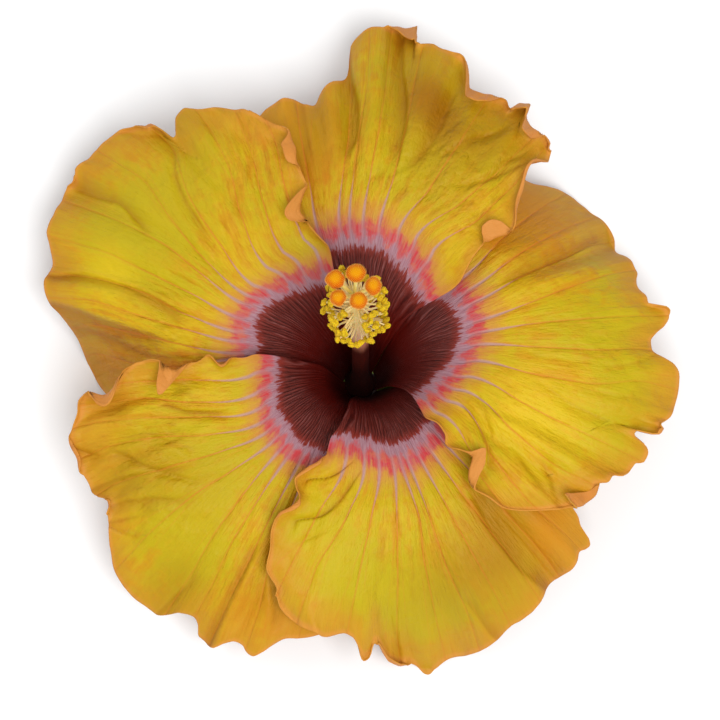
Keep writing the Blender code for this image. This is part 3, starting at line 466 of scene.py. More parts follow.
        "greens": [(4.5, 60, 10, 0.7), (-18, 60, 10, 0.8), (8, 46, 9, 0.6), (-7.5, 66, 8, 0.5),
                   (43, 44, 10, -1.1), (33, 56, 10, -0.6), (44, 55, 9, -0.6)],
        "eye": [(0, 18.8), (0.11, 20.4), (0.21, 22.4), (0.35, 23.4), (0.48, 22.3), (0.57, 21.4),
                (0.66, 20), (0.76, 18.8), (0.88, 18.1), (1, 17.2)],
        "halo": [(0, 7), (0.5, 6), (1, 5.4)],
        "veins": [(34, 37, 39, 40), (27.5, 30, 31.5, 32.5), (21, 23.3, 24.8, 26.8),
                  (12, 14, 16.4, 18), (6.2, 6.9, 7, 7.2), (0.2, -1, -1.1, 0.2),
                  (-8, -10.1, -9.8, -6.5), (-16.6, -20.6, -21.7, -21.9), (-24.5, -30.4, -32.2, -31),
                  (-32.1, -41.5, -43.5, -41), (-41.3, -48, -50, -50)],
        "creases": [
            ([(34.5, 23.4), (43, 23.8), (55.5, 25), (66, 26.9)], 0.9, 0.9, 7),
            ([(28, -22), (34, -30.7), (38.7, -36.2)], 0.6, 1.0, -3),
            ([(42.7, -35.9), (47.7, -38.1), (54, -39.7)], 0.7, 1.2, 3.5),
            ([(46.3, -32.6), (52, -35.7), (58, -39.8)], 0.7, 1.2, 3.5),
            ([(41, -11.4), (46, -13.9), (51.4, -15.7), (59, -16.4)], 0.7, 0.8, -3.5),
            ([(36, -1.5), (43, -3.5), (52, -3.5)], 0.4, 1.2, -3),
            ([(52.5, 3.1), (59.7, 4.1), (72, 6.4)], 0.5, 0.8, -3),
            ([(54.4, -4.4), (62.5, -2.9), (70, -0.1)], 0.6, 0.9, -3.5),
            ([(25, -30.2), (29.6, -33), (34, -36.6), (36.7, -39.1), (41, -45)], 0.9, 0.7, 3),
            ([(51.6, -10.9), (57, -10.7), (68, -9.8)], 0.45, 0.9, -3),
        ],
        "crepe": [(28, 50, 14, 0.5), (-5, 55, 16, 0.5), (-30, 40, 12, 0.6)],
        "blush": [(36, 54, 17, 0.95), (10, 68, 7, 0.4), (-33, 60, 7, 0.6), (-44, 42, 6, 0.5)],
    },
    {
        "name": "petal_bottom",
        "free_edge": [(3.8, -99), (8, -99), (14, -102.5), (20.4, -104.5), (24, -107),
                      (27.5, -106.5), (30, -110.5), (32, -113.8), (34.6, -114.6),
                      (36.4, -113.6), (38.5, -111.4), (40.8, -113), (43, -115), (46.7, -114.8),
                      (50, -113.4), (54, -112), (58, -108)],
        "hidden_edge": [(3.8, -37), (8, -36), (14, -33), (22, -33), (40, -34), (60, -27)],
        "margin": [(-26, 54), (-31, 58), (-36.3, 61.5), (-37.2, 64.5), (-38.4, 66.5),
                   (-39, 69.6), (-39.9, 70.8), (-41, 70.4), (-42.4, 69.4), (-44, 70.2),
                   (-46, 71), (-50.5, 71.2), (-54, 72.2), (-58.8, 73), (-61, 72.6),
                   (-64.7, 73), (-70, 73.3), (-74, 72.7), (-76.2, 73.1), (-77.5, 73.8),
                   (-78.4, 73.3), (-79.4, 71.4), (-81.4, 70), (-82.8, 70.4), (-84.4, 69.8),
                   (-85.6, 67.4), (-86.4, 65.4), (-87.3, 65.2), (-88.2, 67.6), (-89.2, 68.2),
                   (-90.2, 66.6), (-91.2, 64.8), (-93, 64.2), (-96.8, 65.4), (-98.5, 64.6), (-101, 64),
                   (-103.5, 62.8), (-106, 60.6), (-107.8, 58.3)],
        "fall": [(-118, 2), (-100, 4), (-90, 12), (-83, 21), (-77, 23.5), (-70, 18), (-60, 8),
                 (-45, 6), (-25, 7)],
        "crease_turn": 0.0,
        "folds": [(-50, 3.6, -1.9, 40), (-43.5, 3.2, 1.7, 44), (-66, 3.4, 0.9, 48),
                  (-59, 3.0, -0.7, 46), (-84.5, 2.2, -1.5, 58), (-89.5, 2.2, 1.2, 58),
                  (-77.5, 2.6, 0.8, 56), (-104, 2.6, -1.0, 34), (-72, 2.4, -0.6, 45)],
        "side_curls": [(31, 3.2, 3.0, 90), (40, 4.5, 3.2, 70), (50, 5.0, 2.5, 50)],
        "rim_curls": [(-83.6, 3.0, 3.0, 60)],
        "side_flaps": [(28, 0), (30.5, 1.2), (34, 1.4), (36, 0.4), (38, 0.4), (40, 1.7), (43, 1.3),
                       (45, 0.5), (60, 0.8)],
        "flap_skew": [(0, 0.0), (90, 0.0)],
        "rim_flaps": [(-107, 0.8), (-100, 0.4), (-90.4, 0), (-89.4, 1.4), (-88, 1.2), (-87, 0.8),
                      (-85.6, 5.0), (-84, 6.4), (-82, 4.0), (-80.4, 0.4), (-40, 0)],
        "seed": 41,
        "tones": [(-99, 46, 12, 0.4), (-54, 60, 9, -0.6), (-65, 55, 9, -0.5), (-61, 67, 8, -0.3),
                  (-49, 48, 8, -0.5), (-76, 60, 13, -0.3), (-42, 62, 6, 0.3)],
        "greens": [(-84, 56, 9, 0.8), (-75, 62, 9, 1.0), (-100, 46, 11, 0.9), (-92, 57, 8, 0.4),
                   (-46, 55, 9, -1.0), (-43, 63, 9, -0.9), (-53, 48, 8, -0.6)],
        "eye": [(0, 21.5), (0.25, 22.9), (0.36, 24), (0.48, 24.2), (0.6, 23.6), (0.72, 22.1),
                (0.88, 21.7), (1, 22.8)],
        "halo": [(0, 7), (0.5, 6.8), (1, 5)],
        "veins": [(-42, -42, -43, -42), (-49.5, -49, -48.6, -47.8), (-56.5, -56, -55.2, -54),
                  (-62.6, -62.2, -61.8, -61), (-68, -68.2, -68.6, -67.6),
                  (-71.4, -71.2, -73.5, -74), (-74.9, -78, -80.6, -82.4),
                  (-81.3, -86.4, -90.3, -92.6), (-88, -94.4, -101, -102.8),
                  (-97, -103.5, -107, -109)],
        "creases": [
            ([(29, -89), (31, -91), (36.5, -96.3), (40.7, -101.9), (43.2, -108.9)], 1.0, 0.8, -3.5),
            ([(27, -92), (29, -95.7), (31.8, -101.4), (34.3, -110.3)], 0.9, 0.6, -2.6),
            ([(42, -54.2), (51, -55), (62.7, -54.2), (73, -52)], 1.2, 1.6, 9),
            ([(50, -50.5), (61, -49.7), (73, -48.9)], 0.7, 0.9, 3.5),
            ([(60, -68.1), (64.8, -66.6), (70.6, -65.3), (76, -64)], 0.9, 1.1, 6),
            ([(59, -83), (65.6, -82.4), (70, -82.2)], 0.6, 0.8, -2.5),
            ([(41, -95.5), (45, -102.2), (48.3, -106.8)], 0.45, 0.9, -2.6),
            ([(41, -82.9), (43.1, -84.8)], 0.5, 0.9, 2.4),
        ],
        "crepe": [(-80, 52, 14, 0.5), (-60, 50, 14, 0.4), (-104, 36, 9, 0.6)],
        "blush": [(-43, 62, 15, 0.95), (-106, 52, 9, 0.4), (-84, 68, 6, 0.4)],
    },
    {
        "name": "petal_lower_left",
        "free_edge": [(3.8, -171), (8, -171), (14, -172), (20, -173), (25, -173.5),
                      (27.5, -172.4), (30, -173.2), (32.3, -172.2), (34.6, -175),
                      (37, -173), (41.6, -170.5), (45.3, -175.3), (50.3, -174.6),
                      (52.7, -172.5), (55, -170), (60, -169.6)],
        "hidden_edge": [(3.8, -109), (8, -108), (14, -100), (22, -94), (40, -93), (60, -87)],
        "margin": [(-86, 58), (-91, 62), (-96, 65.9), (-98.2, 67.4), (-100.1, 68.3),
                   (-102.3, 69.2), (-104.7, 69.9), (-106.6, 71.5), (-108, 73.3),
                   (-109.4, 74.6), (-110.6, 74.4), (-111.8, 73.6), (-113.4, 73.7),
                   (-114.9, 74.4), (-116.6, 76.2), (-118.5, 75.7), (-119.8, 75.9),
                   (-120.8, 74), (-122, 73.3), (-123.6, 73.6), (-124.8, 74), (-126.4, 75.6),
                   (-128.1, 77), (-131.9, 77.2), (-134.6, 76.7), (-138.2, 75.2),
                   (-140.5, 73.4), (-144, 70.6), (-146.3, 68.4), (-147.5, 67.2), (-148.7, 66.8),
                   (-150.7, 68.2), (-152.3, 69.2), (-155.5, 69), (-157.8, 68.9),
                   (-160.1, 68.6), (-162, 67.8), (-164.2, 66.4), (-166, 65.1), (-168, 63.8),
                   (-168.8, 62.5), (-169.4, 60.2)],
        "fall": [(-180, -1), (-165, 0), (-150, 2), (-135, 4), (-120, 3), (-100, 4), (-84, 6)],
        "crease_turn": 0.0,
        "folds": [(-171, 2.6, 1.0, 32), (-166.5, 2.2, -1.4, 34), (-162.5, 2.6, 0.8, 40),
                  (-158.5, 2.0, -1.3, 48), (-153.5, 2.2, -1.2, 40), (-148.5, 2.4, -1.5, 56),
                  (-151, 2.0, 0.9, 44), (-140, 4.0, 0.9, 48), (-122, 3.0, -1.4, 56),
                  (-117, 2.8, 1.2, 48), (-109, 3.0, 1.2, 50), (-112.8, 1.8, -0.7, 48),
                  (-103, 3.0, -1.2, 50), (-130, 3.0, -0.7, 50)],
        "side_curls": [(32.5, 2.6, 3.0, 100), (44.5, 3.2, 4.5, 70), (57, 3.6, 4.5, 90)],
        "rim_curls": [(-160, 6.0, 3.0, 70), (-148.2, 2.5, 3.5, 60)],
        "side_flaps": [(29.5, 0), (32, 0.8), (34.8, 0.6), (36, 0), (37.6, 0), (39, 1.2), (40.6, 4.0),
                       (42, 6.8), (43.4, 5.0), (45, 0.4), (51, 0.2), (53.6, 1.6), (56, 3.4), (58.5, 3.2),
                       (61, 1.6), (64, 0.4)],
        "flap_skew": [(0, 0.0), (37, 0.0), (41, 0.4), (47, 0.4), (51, 0.0), (90, 0.0)],
        "rim_flaps": [(-166, 1.0), (-163, 0.4), (-160.5, 1.8), (-157, 1.8), (-155, 0), (-149.6, 0),
                      (-148.5, 1.6), (-147, 1.5), (-146, 0), (-110, 0)],
        "seed": 53,
        "tones": [(-127, 70, 9, -0.6), (-151, 58, 10, -0.6), (-162, 38, 8, 0.2), (-109, 58, 9, -0.45),
                  (-138, 46, 12, -0.25)],
        "greens": [(-133, 58, 11, 1.0), (-155, 47, 9, 0.6), (-136, 42, 9, 0.7), (-124, 62, 8, 0.4),
                   (-109, 60, 8, -0.9), (-103, 64, 8, -0.7), (-158, 63, 8, -0.6)],
        "eye": [(0, 24.8), (0.2, 25), (0.37, 25.7), (0.47, 24.6), (0.57, 24.1), (0.68, 22.6),
                (0.82, 20.6), (1, 20)],
        "halo": [(0, 5.4), (0.5, 5.6), (1, 4.8)],
        "veins": [(-99, -98, -97, -95), (-106, -105, -104, -102), (-112.7, -112.6, -112.6, -111),
                  (-117, -117.1, -117.2, -117.4), (-122.4, -122.9, -122.9, -121.9),
                  (-126.8, -127.5, -127.5, -126.7), (-131.4, -134.5, -137.7, -138.5),
                  (-136.1, -141.6, -147.3, -151), (-141, -148.2, -155.7, -158.6),
                  (-147, -154.8, -161, -164), (-154, -159.8, -166, -168), (-163, -167.5, -170, -171)],
        "creases": [
            ([(33, -152.7), (38, -155.9), (42, -158.6), (46.7, -162.5)], 1.0, 0.7, 3.5),
            ([(47.6, -145.3), (52.7, -147.9), (56.8, -152.5), (60.2, -156.3)], 1.1, 0.9, 4.5),
            ([(55.8, -149.3), (58, -150.1), (64.5, -152.1), (73, -152.9)], 1.0, 0.9, 5),
            ([(47, -139.3), (51, -144.3), (54.3, -147.6)], 0.8, 0.9, 3),
            ([(51.6, -139.1), (59, -144.4), (68, -147.8)], 0.9, 1.1, 4.5),
            ([(60.7, -142.2), (65.7, -144), (72, -146)], 0.8, 0.7, 2.5),
            ([(65.2, -139), (67.9, -141.5), (71, -145)], 0.8, 0.7, -2.6),
            ([(56, -154.2), (58.8, -156.1), (63, -157.7)], 0.6, 0.7, 2.6),
            ([(51, -156.8), (52.4, -159.6), (54, -161.5)], 0.5, 0.8, 2.4),
            ([(46.6, -147.1), (48, -152), (51.6, -155.7)], 0.7, 1.0, 3.2),
            ([(62, -127), (67, -126.4), (71.5, -127.3), (80, -128.5)], 1.0, 1.1, 5),
            ([(50, -116.2), (62.7, -116.5), (79, -116.8)], 1.0, 1.1, -6),
            ([(49.7, -113.7), (56.3, -111.7), (66, -108)], 0.9, 1.3, 7),
            ([(63.3, -157.3), (65.5, -158.7), (69, -161)], 1.0, 0.6, 3),
        ],
        "crepe": [(-152, 52, 12, 0.8), (-168, 42, 10, 0.7), (-140, 62, 9, 0.6), (-120, 55, 14, 0.3)],
        "blush": [(-100, 60, 15, 0.95), (-116, 70, 9, 0.5), (-147, 66, 8, 0.6), (-170, 58, 8, 0.6)],
    },
]


def through(x, points):
    """Height at x of a smooth line through the points, which never overshoots them."""
    xs = np.array([point[0] for point in points], dtype=float)
    ys = np.array([point[1] for point in points], dtype=float)
    gaps = np.diff(xs)
    rises = np.diff(ys) / gaps
    tangents = np.zeros(len(xs))
    before = rises[:-1]
    after = rises[1:]
    both = before * after > 0
    tangents[1:-1][both] = 2 * before[both] * after[both] / (before[both] + after[both])
    x = np.clip(x, xs[0], xs[-1])
    i = np.clip(np.searchsorted(xs, x) - 1, 0, len(gaps) - 1)
    u = (x - xs[i]) / gaps[i]
    start = (1 + 2 * u) * (1 - u) ** 2 * ys[i] + u * (1 - u) ** 2 * gaps[i] * tangents[i]
    end = u * u * (3 - 2 * u) * ys[i + 1] + u * u * (u - 1) * gaps[i] * tangents[i + 1]
    return start + end


def ramp(x, low, high):
    """Soft step from 0 at low to 1 at high."""
    u = np.clip((x - low) / (high - low), 0, 1)
    return u * u * (3 - 2 * u)


def leaned(x, y, z, radius):
    """The throat and all below it lean toward +Y about the height of the petals' crown."""
    share = 1 - ramp(radius, *LEAN_FADE_RADII)
    return x, y + math.tan(math.radians(LEAN)) * (z - LEAN_PIVOT_Z) * share, z


def roll(reach, distance, strength, turn):
    """Shift along and off the blade of a strip near an edge that is rolled by a turn."""
    u = np.clip(reach - distance, 0, None)
    bend = np.radians(turn) * strength / reach
    bend = np.where(np.abs(bend) < LEAST_BEND, LEAST_BEND, bend)
    return np.sin(bend * u) / bend - u, (1 - np.cos(bend * u)) / bend


def folded(beyond, turned):
    """Shift along and off the blade of tissue beyond an edge that is folded back over the blade,
    where the strip before the edge is already turned by an angle."""
    total = np.maximum(math.radians(FLAP_TURN), turned)
    bent = np.minimum(beyond, (total - turned) * FLAP_BEND)
    straight = beyond - bent
    end = turned + bent / FLAP_BEND
    out = FLAP_BEND * (np.sin(end) - np.sin(turned)) + straight * np.cos(end)
    up = FLAP_BEND * (np.cos(turned) - np.cos(end)) + straight * np.sin(end)
    return out - beyond, up


def hump(x, half_width):
    """Smooth hump, 1 in its middle, about half as high a half width away."""
    return np.clip(1 - (x / half_width) ** 2 / HUMP_SPREAD, 0, 1) ** 2


def ruffle(distance_along, seed, lengths=RUFFLE_LENGTHS, shares=RUFFLE_SHARES):
    """Uneven wave along an edge."""
    draw = random.Random(seed)
    wave = np.zeros_like(distance_along)
    for length, share in zip(lengths, shares):
        stretched = length * draw.uniform(*RUFFLE_STRETCH)
        wave += share * np.sin(2 * math.pi * (distance_along / stretched + draw.random()))
    return wave


def spots(marks, azimuth, radius):
    """Sum of soft round spots, each an azimuth, a radius, a size and a strength."""
    total = np.zeros_like(radius)
    for where, middle, size, strength in marks:
        across = np.radians(azimuth - where) * radius
        total += strength * np.exp(-(across ** 2 + (radius - middle) ** 2) / size ** 2)
    return total


def vein_lines(petal, azimuth, radius, left, right):
    """Which vein a point lies on, as a number that is whole on each vein, and how far apart the
    veins on its two sides are."""
    middle = (left + right) / 2
    start_left = through(VEIN_RADII[0], petal["hidden_edge"])
    start_right = through(VEIN_RADII[0], petal["free_edge"])
    throat = np.where(radius < VEIN_RADII[0], (left - right) / (start_left - start_right), 1)
    lines = []
    for vein in petal["veins"]:
        start = vein[0] - (start_left + start_right) / 2
        inner = middle + start * throat
        outer = through(radius, list(zip(VEIN_RADII, vein)))
        lines.append(np.where(radius < VEIN_RADII[0], inner, outer))
    lines.insert(0, np.maximum(left, lines[0]) + OUTER_VEINS_OFF)
    lines.append(np.minimum(right, lines[-1]) - OUTER_VEINS_OFF)
    number = np.full_like(azimuth, NO_VEIN)
    gap = np.full_like(azimuth, NO_VEIN_GAP)
    for i, (line, following) in enumerate(zip(lines, lines[1:])):
        between = (azimuth <= line) & (azimuth > following)
        number = np.where(between, i + (line - azimuth) / (line - following), number)
        gap = np.where(between, np.radians(line - following) * radius, gap)
    return number, gap


def crepe(petal, azimuth, radius):
    """Crinkles of the soft tissue, and how strong they are, strong in a few places of each petal."""
    zone = CREPE_CALM + spots(petal["crepe"], azimuth, radius)
    zone = zone * ramp(radius, EYE_RADIUS, EYE_RADIUS + CREPE_ONSET)
    x = CREPE_STRETCH * radius
    y = radius * np.radians(azimuth - petal["free_edge"][0][1])
    bend = CREPE_BEND * np.sin(radius / CREPE_BEND_LENGTHS[0] + y / CREPE_BEND_LENGTHS[1])
    height = np.zeros_like(radius)
    for length in CREPE_LENGTHS:
        points = zip((x + bend) / length, (y - bend) / length)
        wrinkles = np.array([noise.noise(Vector((a, b, petal["seed"] + 0.5))) for a, b in points])
        height += (CREPE_CREST - np.abs(wrinkles) + CREPE_SLANT * wrinkles) * length
    return height * zone, zone


def creases(petal, azimuth, radius):
    """Drop of the blade at its creases, and the painted shade a point gets in a crease, 0 to 1."""
    drop = np.zeros_like(radius)
    shade = np.zeros_like(radius)
    for line, depth, width, reach in petal["creases"]:
        across = np.radians(azimuth - through(radius, line)) * radius * math.copysign(1, reach)
        inner = line[0][0]
        outer = line[-1][0]
        started = ramp(radius, inner + CREASE_STARTS[0], inner + CREASE_STARTS[1])
        stopped = ramp(radius, outer + CREASE_STOPS[0], outer + CREASE_STOPS[1])
        ends = started * (1 - stopped)
        down = ramp(across, -width / 2, width / 2)
        back = 1 - ramp(across, width / 2, abs(reach))
        drop = drop + depth * down * back * ends
        off = np.clip(across, 0, None) / (CREASE_SHADE_SHARE * abs(reach))
        dark = np.exp(-off ** CREASE_SHADE_POWER) * down * ends
        shade = np.maximum(shade, dark * min(1.0, depth / CREASE_FULL_DEPTH))
    return drop, shade


def share_across(petal, azimuth, radius):
    """Share of the way across a petal, 0 at its hidden edge and 1 at its free edge."""
    left = through(radius, petal["hidden_edge"])
    right = through(radius, petal["free_edge"])
    return float((left - azimuth) / (left - right))


def rim_lines(petal):
    """Radius of the rim, and width of the tissue folded back there, by the share across."""
    rim = [(share_across(petal, azimuth, radius), radius) for azimuth, radius in petal["margin"]]
    turned_azimuths = [-azimuth for azimuth, radius in petal["margin"]]
    radii = [radius for azimuth, radius in petal["margin"]]
    flaps = []
    for azimuth, width in reversed(petal["rim_flaps"]):
        radius = float(np.interp(-azimuth, turned_azimuths, radii))
        flaps.append((share_across(petal, azimuth, radius), width))
    return rim, flaps


def rim_arcs(petal, s):
    """Way along the middle line to a petal's rim, to its flap's edge, and to an evened-out rim."""
    rim, flaps = rim_lines(petal)
    rim_arc = np.interp(through(s, rim), RADII, ARCS)
    shares = np.linspace(-CALM_SPREAD, 1 + CALM_SPREAD, CALM_SAMPLES)
    weights = np.hanning(int(2 * CALM_SPREAD / (shares[1] - shares[0])) + 1)
    rim_line = np.interp(through(np.clip(shares, 0, 1), rim), RADII, ARCS)
    calm_line = np.convolve(rim_line, weights / weights.sum(), "same")
    return rim_arc, rim_arc + through(s, flaps), np.interp(s, shares, calm_line)


def waves(petal, azimuth, radius, off_rim, off_free, showing):
    """Lift off the blade of its folds and its waved side, and rise of its waved and frilled rim."""
    lift = np.zeros_like(radius)
    for where, half_width, size, start in petal["folds"]:
        grow = ramp(radius, start + FOLD_ONSET[0], start + FOLD_ONSET[1])
        lift += size * showing * grow * np.exp(-((azimuth - where) / half_width) ** 2)
    middle = (petal["free_edge"][0][1] + petal["hidden_edge"][0][1]) / 2
    along = radius * np.radians(azimuth - middle)
    rim_share = np.clip(1 - off_rim / RIM_WAVE_DEPTH, 0, 1) ** RUFFLE_FADE
    rise = RIM_WAVE * rim_share * ruffle(along, petal["seed"])
    side_share = np.clip(1 - off_free / SIDE_WAVE_DEPTH, 0, 1) ** RUFFLE_FADE
    side_share = side_share * ramp(radius, *SIDE_WAVE_RADII)
    lift += SIDE_WAVE * side_share * ruffle(radius, petal["seed"] + 1)
    frill_share = np.clip(1 - off_rim / FRILL_DEPTH, 0, 1) ** FRILL_FADE
    rise += FRILL * frill_share * ruffle(along, petal["seed"] + 2, FRILL_LENGTHS, FRILL_SHARES)
    return lift, rise * showing


def curled(petal, azimuth, radius, off_free, off_rim, past_free, past_rim):
    """Shifts toward the free edge, toward the rim and off the blade, where an edge is rolled and
    where tissue beyond it is folded back."""
    along_free = np.zeros_like(radius)
    along_rim = np.zeros_like(radius)
    lift = np.zeros_like(radius)
    turned_free = np.zeros_like(radius)
    turned_rim = np.zeros_like(radius)
    for where, half_width, reach, turn in petal["side_curls"]:
        strength = hump(radius - where, half_width)
        along, off = roll(reach, off_free, strength, turn)
        along_free += along
        lift += off
        turned_free += np.radians(turn) * strength
    for where, half_width, reach, turn in petal["rim_curls"]:
        strength = hump(azimuth - where, half_width)
        along, off = roll(reach, off_rim, strength, turn)
        along_rim += along
        lift += off
        turned_rim += np.radians(turn) * strength
    along, off = folded(past_free, turned_free)
    along_free += along
    along_rim += past_free * through(radius, petal["flap_skew"])
    lift += off
    along, off = folded(past_rim, turned_rim)
    along_rim += along
    lift += off
    return along_free, along_rim, lift


def branching(petal, number, t):
    """How far a vein's two branches stand from it, as a share of the gap to the next vein."""
    draw = random.Random(petal["seed"] + 3)
    starts = [draw.uniform(*FORK_STARTS) for vein in range(len(petal["veins"]) + 2)]
    start = np.interp(number, np.arange(len(starts)), starts)
    return FORK_SPREAD * np.clip((t - start) / (1 - start), 0, 1) ** FORK_CURVE


def petal_fields(petal, s, t):
    """Places of the points of a petal's middle surface, and the measures its colours follow."""
    rim_arc, flap_arc, calm_arc = rim_arcs(petal, s)
    arc = t * calm_arc + (flap_arc - calm_arc) * ramp(t, *CALM_END)
    radius = np.interp(arc, ARCS, RADII)
    height = np.interp(arc, ARCS, HEIGHTS)
    slope = np.interp(arc, ARCS, SLOPES)
    overlap = THROAT_OVERLAP * (1 - ramp(radius, *THROAT_RADII))
    left = through(radius, petal["hidden_edge"]) + overlap
    right = through(radius, petal["free_edge"]) - overlap
    side_extra = through(radius, petal["side_flaps"]) * ramp(s, *FLAP_SHARES)
    azimuth = left + (right - left) * s - np.degrees(side_extra / radius)
    off_rim = np.clip(rim_arc - arc, 0, None)
    past_rim = np.clip(arc - rim_arc, 0, None)
    off_free = np.clip(radius * np.radians(azimuth - right), 0, None)
    past_free = np.clip(radius * np.radians(right - azimuth), 0, None)
    showing = ramp(s, *SHOWING_SHARES)

    # Fall of the blade past the flower's crown
    turned = azimuth - petal["crease_turn"] * np.clip(CREASE_RADIUS - radius, 0, None)
    beyond = np.clip(radius - FALL_RADIUS, 0, None) / FALL_REACH
    fall = through(turned, petal["fall"])
    steepness = fall * FALL_POWER / FALL_REACH * beyond ** (FALL_POWER - 1)
    slope = np.arctan(np.tan(slope) - steepness)

    # Relief of the blade, which rises straight up
    lift, rise = waves(petal, azimuth, radius, off_rim, off_free, showing)
    lift += through(radius, TWIST_LIFT) * (2 * s - 1)
    number, gap = vein_lines(petal, azimuth, radius, left, right)
    from_vein = np.abs(number - np.round(number)) * gap
    blade = ramp(radius, EYE_RADIUS + BLADE_ONSET[0], EYE_RADIUS + BLADE_ONSET[1])
    groove = np.exp(-(from_vein / VEIN_HALF_WIDTH) ** 2)
    pucker = (1 - np.cos(2 * math.pi * number)) / 2
    crinkles, crinkled = crepe(petal, azimuth, radius)
    drop, shade = creases(petal, azimuth, radius)
    rise += blade * (PUCKER * pucker - VEIN_GROOVE * groove)
    rise += (CREPE_HEIGHT * crinkles - drop) * showing

    # Rolled and folded edges, and the place of each point
    along_free, along_rim, off = curled(petal, azimuth, radius, off_free, off_rim, past_free, past_rim)
    lift += off
    outward = along_rim * np.cos(slope) - lift * np.sin(slope)
    angle = np.radians(azimuth)
    x = (radius + outward) * np.cos(angle) + along_free * np.sin(angle)
    y = (radius + outward) * np.sin(angle) - along_free * np.cos(angle)
    z = height - fall * beyond ** FALL_POWER + along_rim * np.sin(slope) + lift * np.cos(slope)
    x, y, z = leaned(x, y, z + rise, radius)
    place = np.stack([x + AXIS_X, y + AXIS_Y, np.maximum(z, PETAL_THICKNESS / 2)], axis=1) * MM

    # Measures for the colours
    width = np.radians(left - right) * radius
    side_fade = 1 + RIM_SIDE_FADE * (1 - ramp(radius, *RIM_SIDE_RADII))
    edge = np.minimum(off_rim, np.minimum(off_free, width * s) * side_fade)
    # Tones give painted shading, lighter or darker; blushes give painted glow and shade where petals
    # overlap or fold over
    tone = spots(petal["tones"], azimuth, radius)
    blush = spots(petal["blush"], azimuth, radius)
    past_eye = radius - through(s, petal["eye"])
    vein_place = number + SEED_STRIDE * petal["seed"]
    measures = {
        "place": np.stack([angle * EYE_RADIUS, radius, past_eye], axis=1),
        "lines": np.stack([vein_place, gap, branching(petal, number, t)], axis=1),
        # The tint holds the creases' painted shade, the blushes' painted glow and the share of the halo;
        # the edge holds the tones' painted shading too
        "tint": np.stack([shade * showing, blush, past_eye / through(s, petal["halo"])], axis=1),
        "edge": np.stack([edge, tone, crinkled], axis=1),
        "green": spots(petal["greens"], azimuth, radius),
    }
    return place, measures


def colour(red, green, blue):
    """Linear colour of a shade that is read as 0 to 255."""
    shades = [channel / 255 for channel in (red, green, blue)]
    return tuple(shade / 12.92 if shade < 0.04 else ((shade + 0.055) / 1.055) ** 2.4
                 for shade in shades) + (1.0,)


def node(tree, kind, inputs=None, **settings):
    """Shader node with its settings, its sockets set to values or linked to other sockets."""
    made = tree.nodes.new(kind)
    for name, value in settings.items():
        setattr(made, name, value)
    for key, value in (inputs or {}).items():
        if isinstance(value, bpy.types.NodeSocket):
            tree.links.new(value, made.inputs[key])
        else:
            made.inputs[key].default_value = value
    return made


def sum_of(tree, operation, first, *others):
    """Result of an arithmetic step on one value, or of the same step with each other value in turn."""
    result = first
    for other in others or (0.0,):
        result = node(tree, "ShaderNodeMath", {0: result, 1: other}, operation=operation).outputs[0]
    return result


def soft_step(tree, value, low, high, top=1.0):
    """Soft step from 0 at low to the top at high, for either order of the two."""
    ends = {"Value": value, "From Min": low, "From Max": high, "To Max": top}
    made = node(tree, "ShaderNodeMapRange", ends, interpolation_type="SMOOTHSTEP")
    return made.outputs["Result"]


def mixed(tree, share, first, second):
    """Colour between two, by the share of the second."""
    made = node(tree, "ShaderNodeMix", {0: share, 6: first, 7: second}, data_type="RGBA")
    return made.outputs[2]


def speckle(tree, vector, scale, detail=2.0, roughness=0.5):
    """Cloudy pattern from 0 to 1."""
    settings = {"Vector": vector, "Scale": scale, "Detail": detail, "Roughness": roughness}
    return node(tree, "ShaderNodeTexNoise", settings).outputs["Fac"]


def brushed(tree, across, outward, fine_across, fine_outward, detail, roughness):
    """Cloudy pattern from 0 to 1 that is drawn out along the blade, told by how fine it is across
    the blade and outward."""
    x = sum_of(tree, "MULTIPLY", across, fine_across)
    y = sum_of(tree, "MULTIPLY", outward, fine_outward)
    place = node(tree, "ShaderNodeCombineXYZ", {0: x, 1: y}).outputs[0]
    return speckle(tree, place, 1.0, detail, roughness)


def swung(tree, pattern, size):
    """Pattern from 0 to 1 turned into one about 0, of a size."""
    return sum_of(tree, "MULTIPLY", sum_of(tree, "SUBTRACT", pattern, 0.5), size)


def parts_of(tree, name):
    """The three numbers of a measure that was laid on the mesh."""
    held = node(tree, "ShaderNodeAttribute", attribute_name=name).outputs["Vector"]
    return node(tree, "ShaderNodeSeparateXYZ", {0: held}).outputs


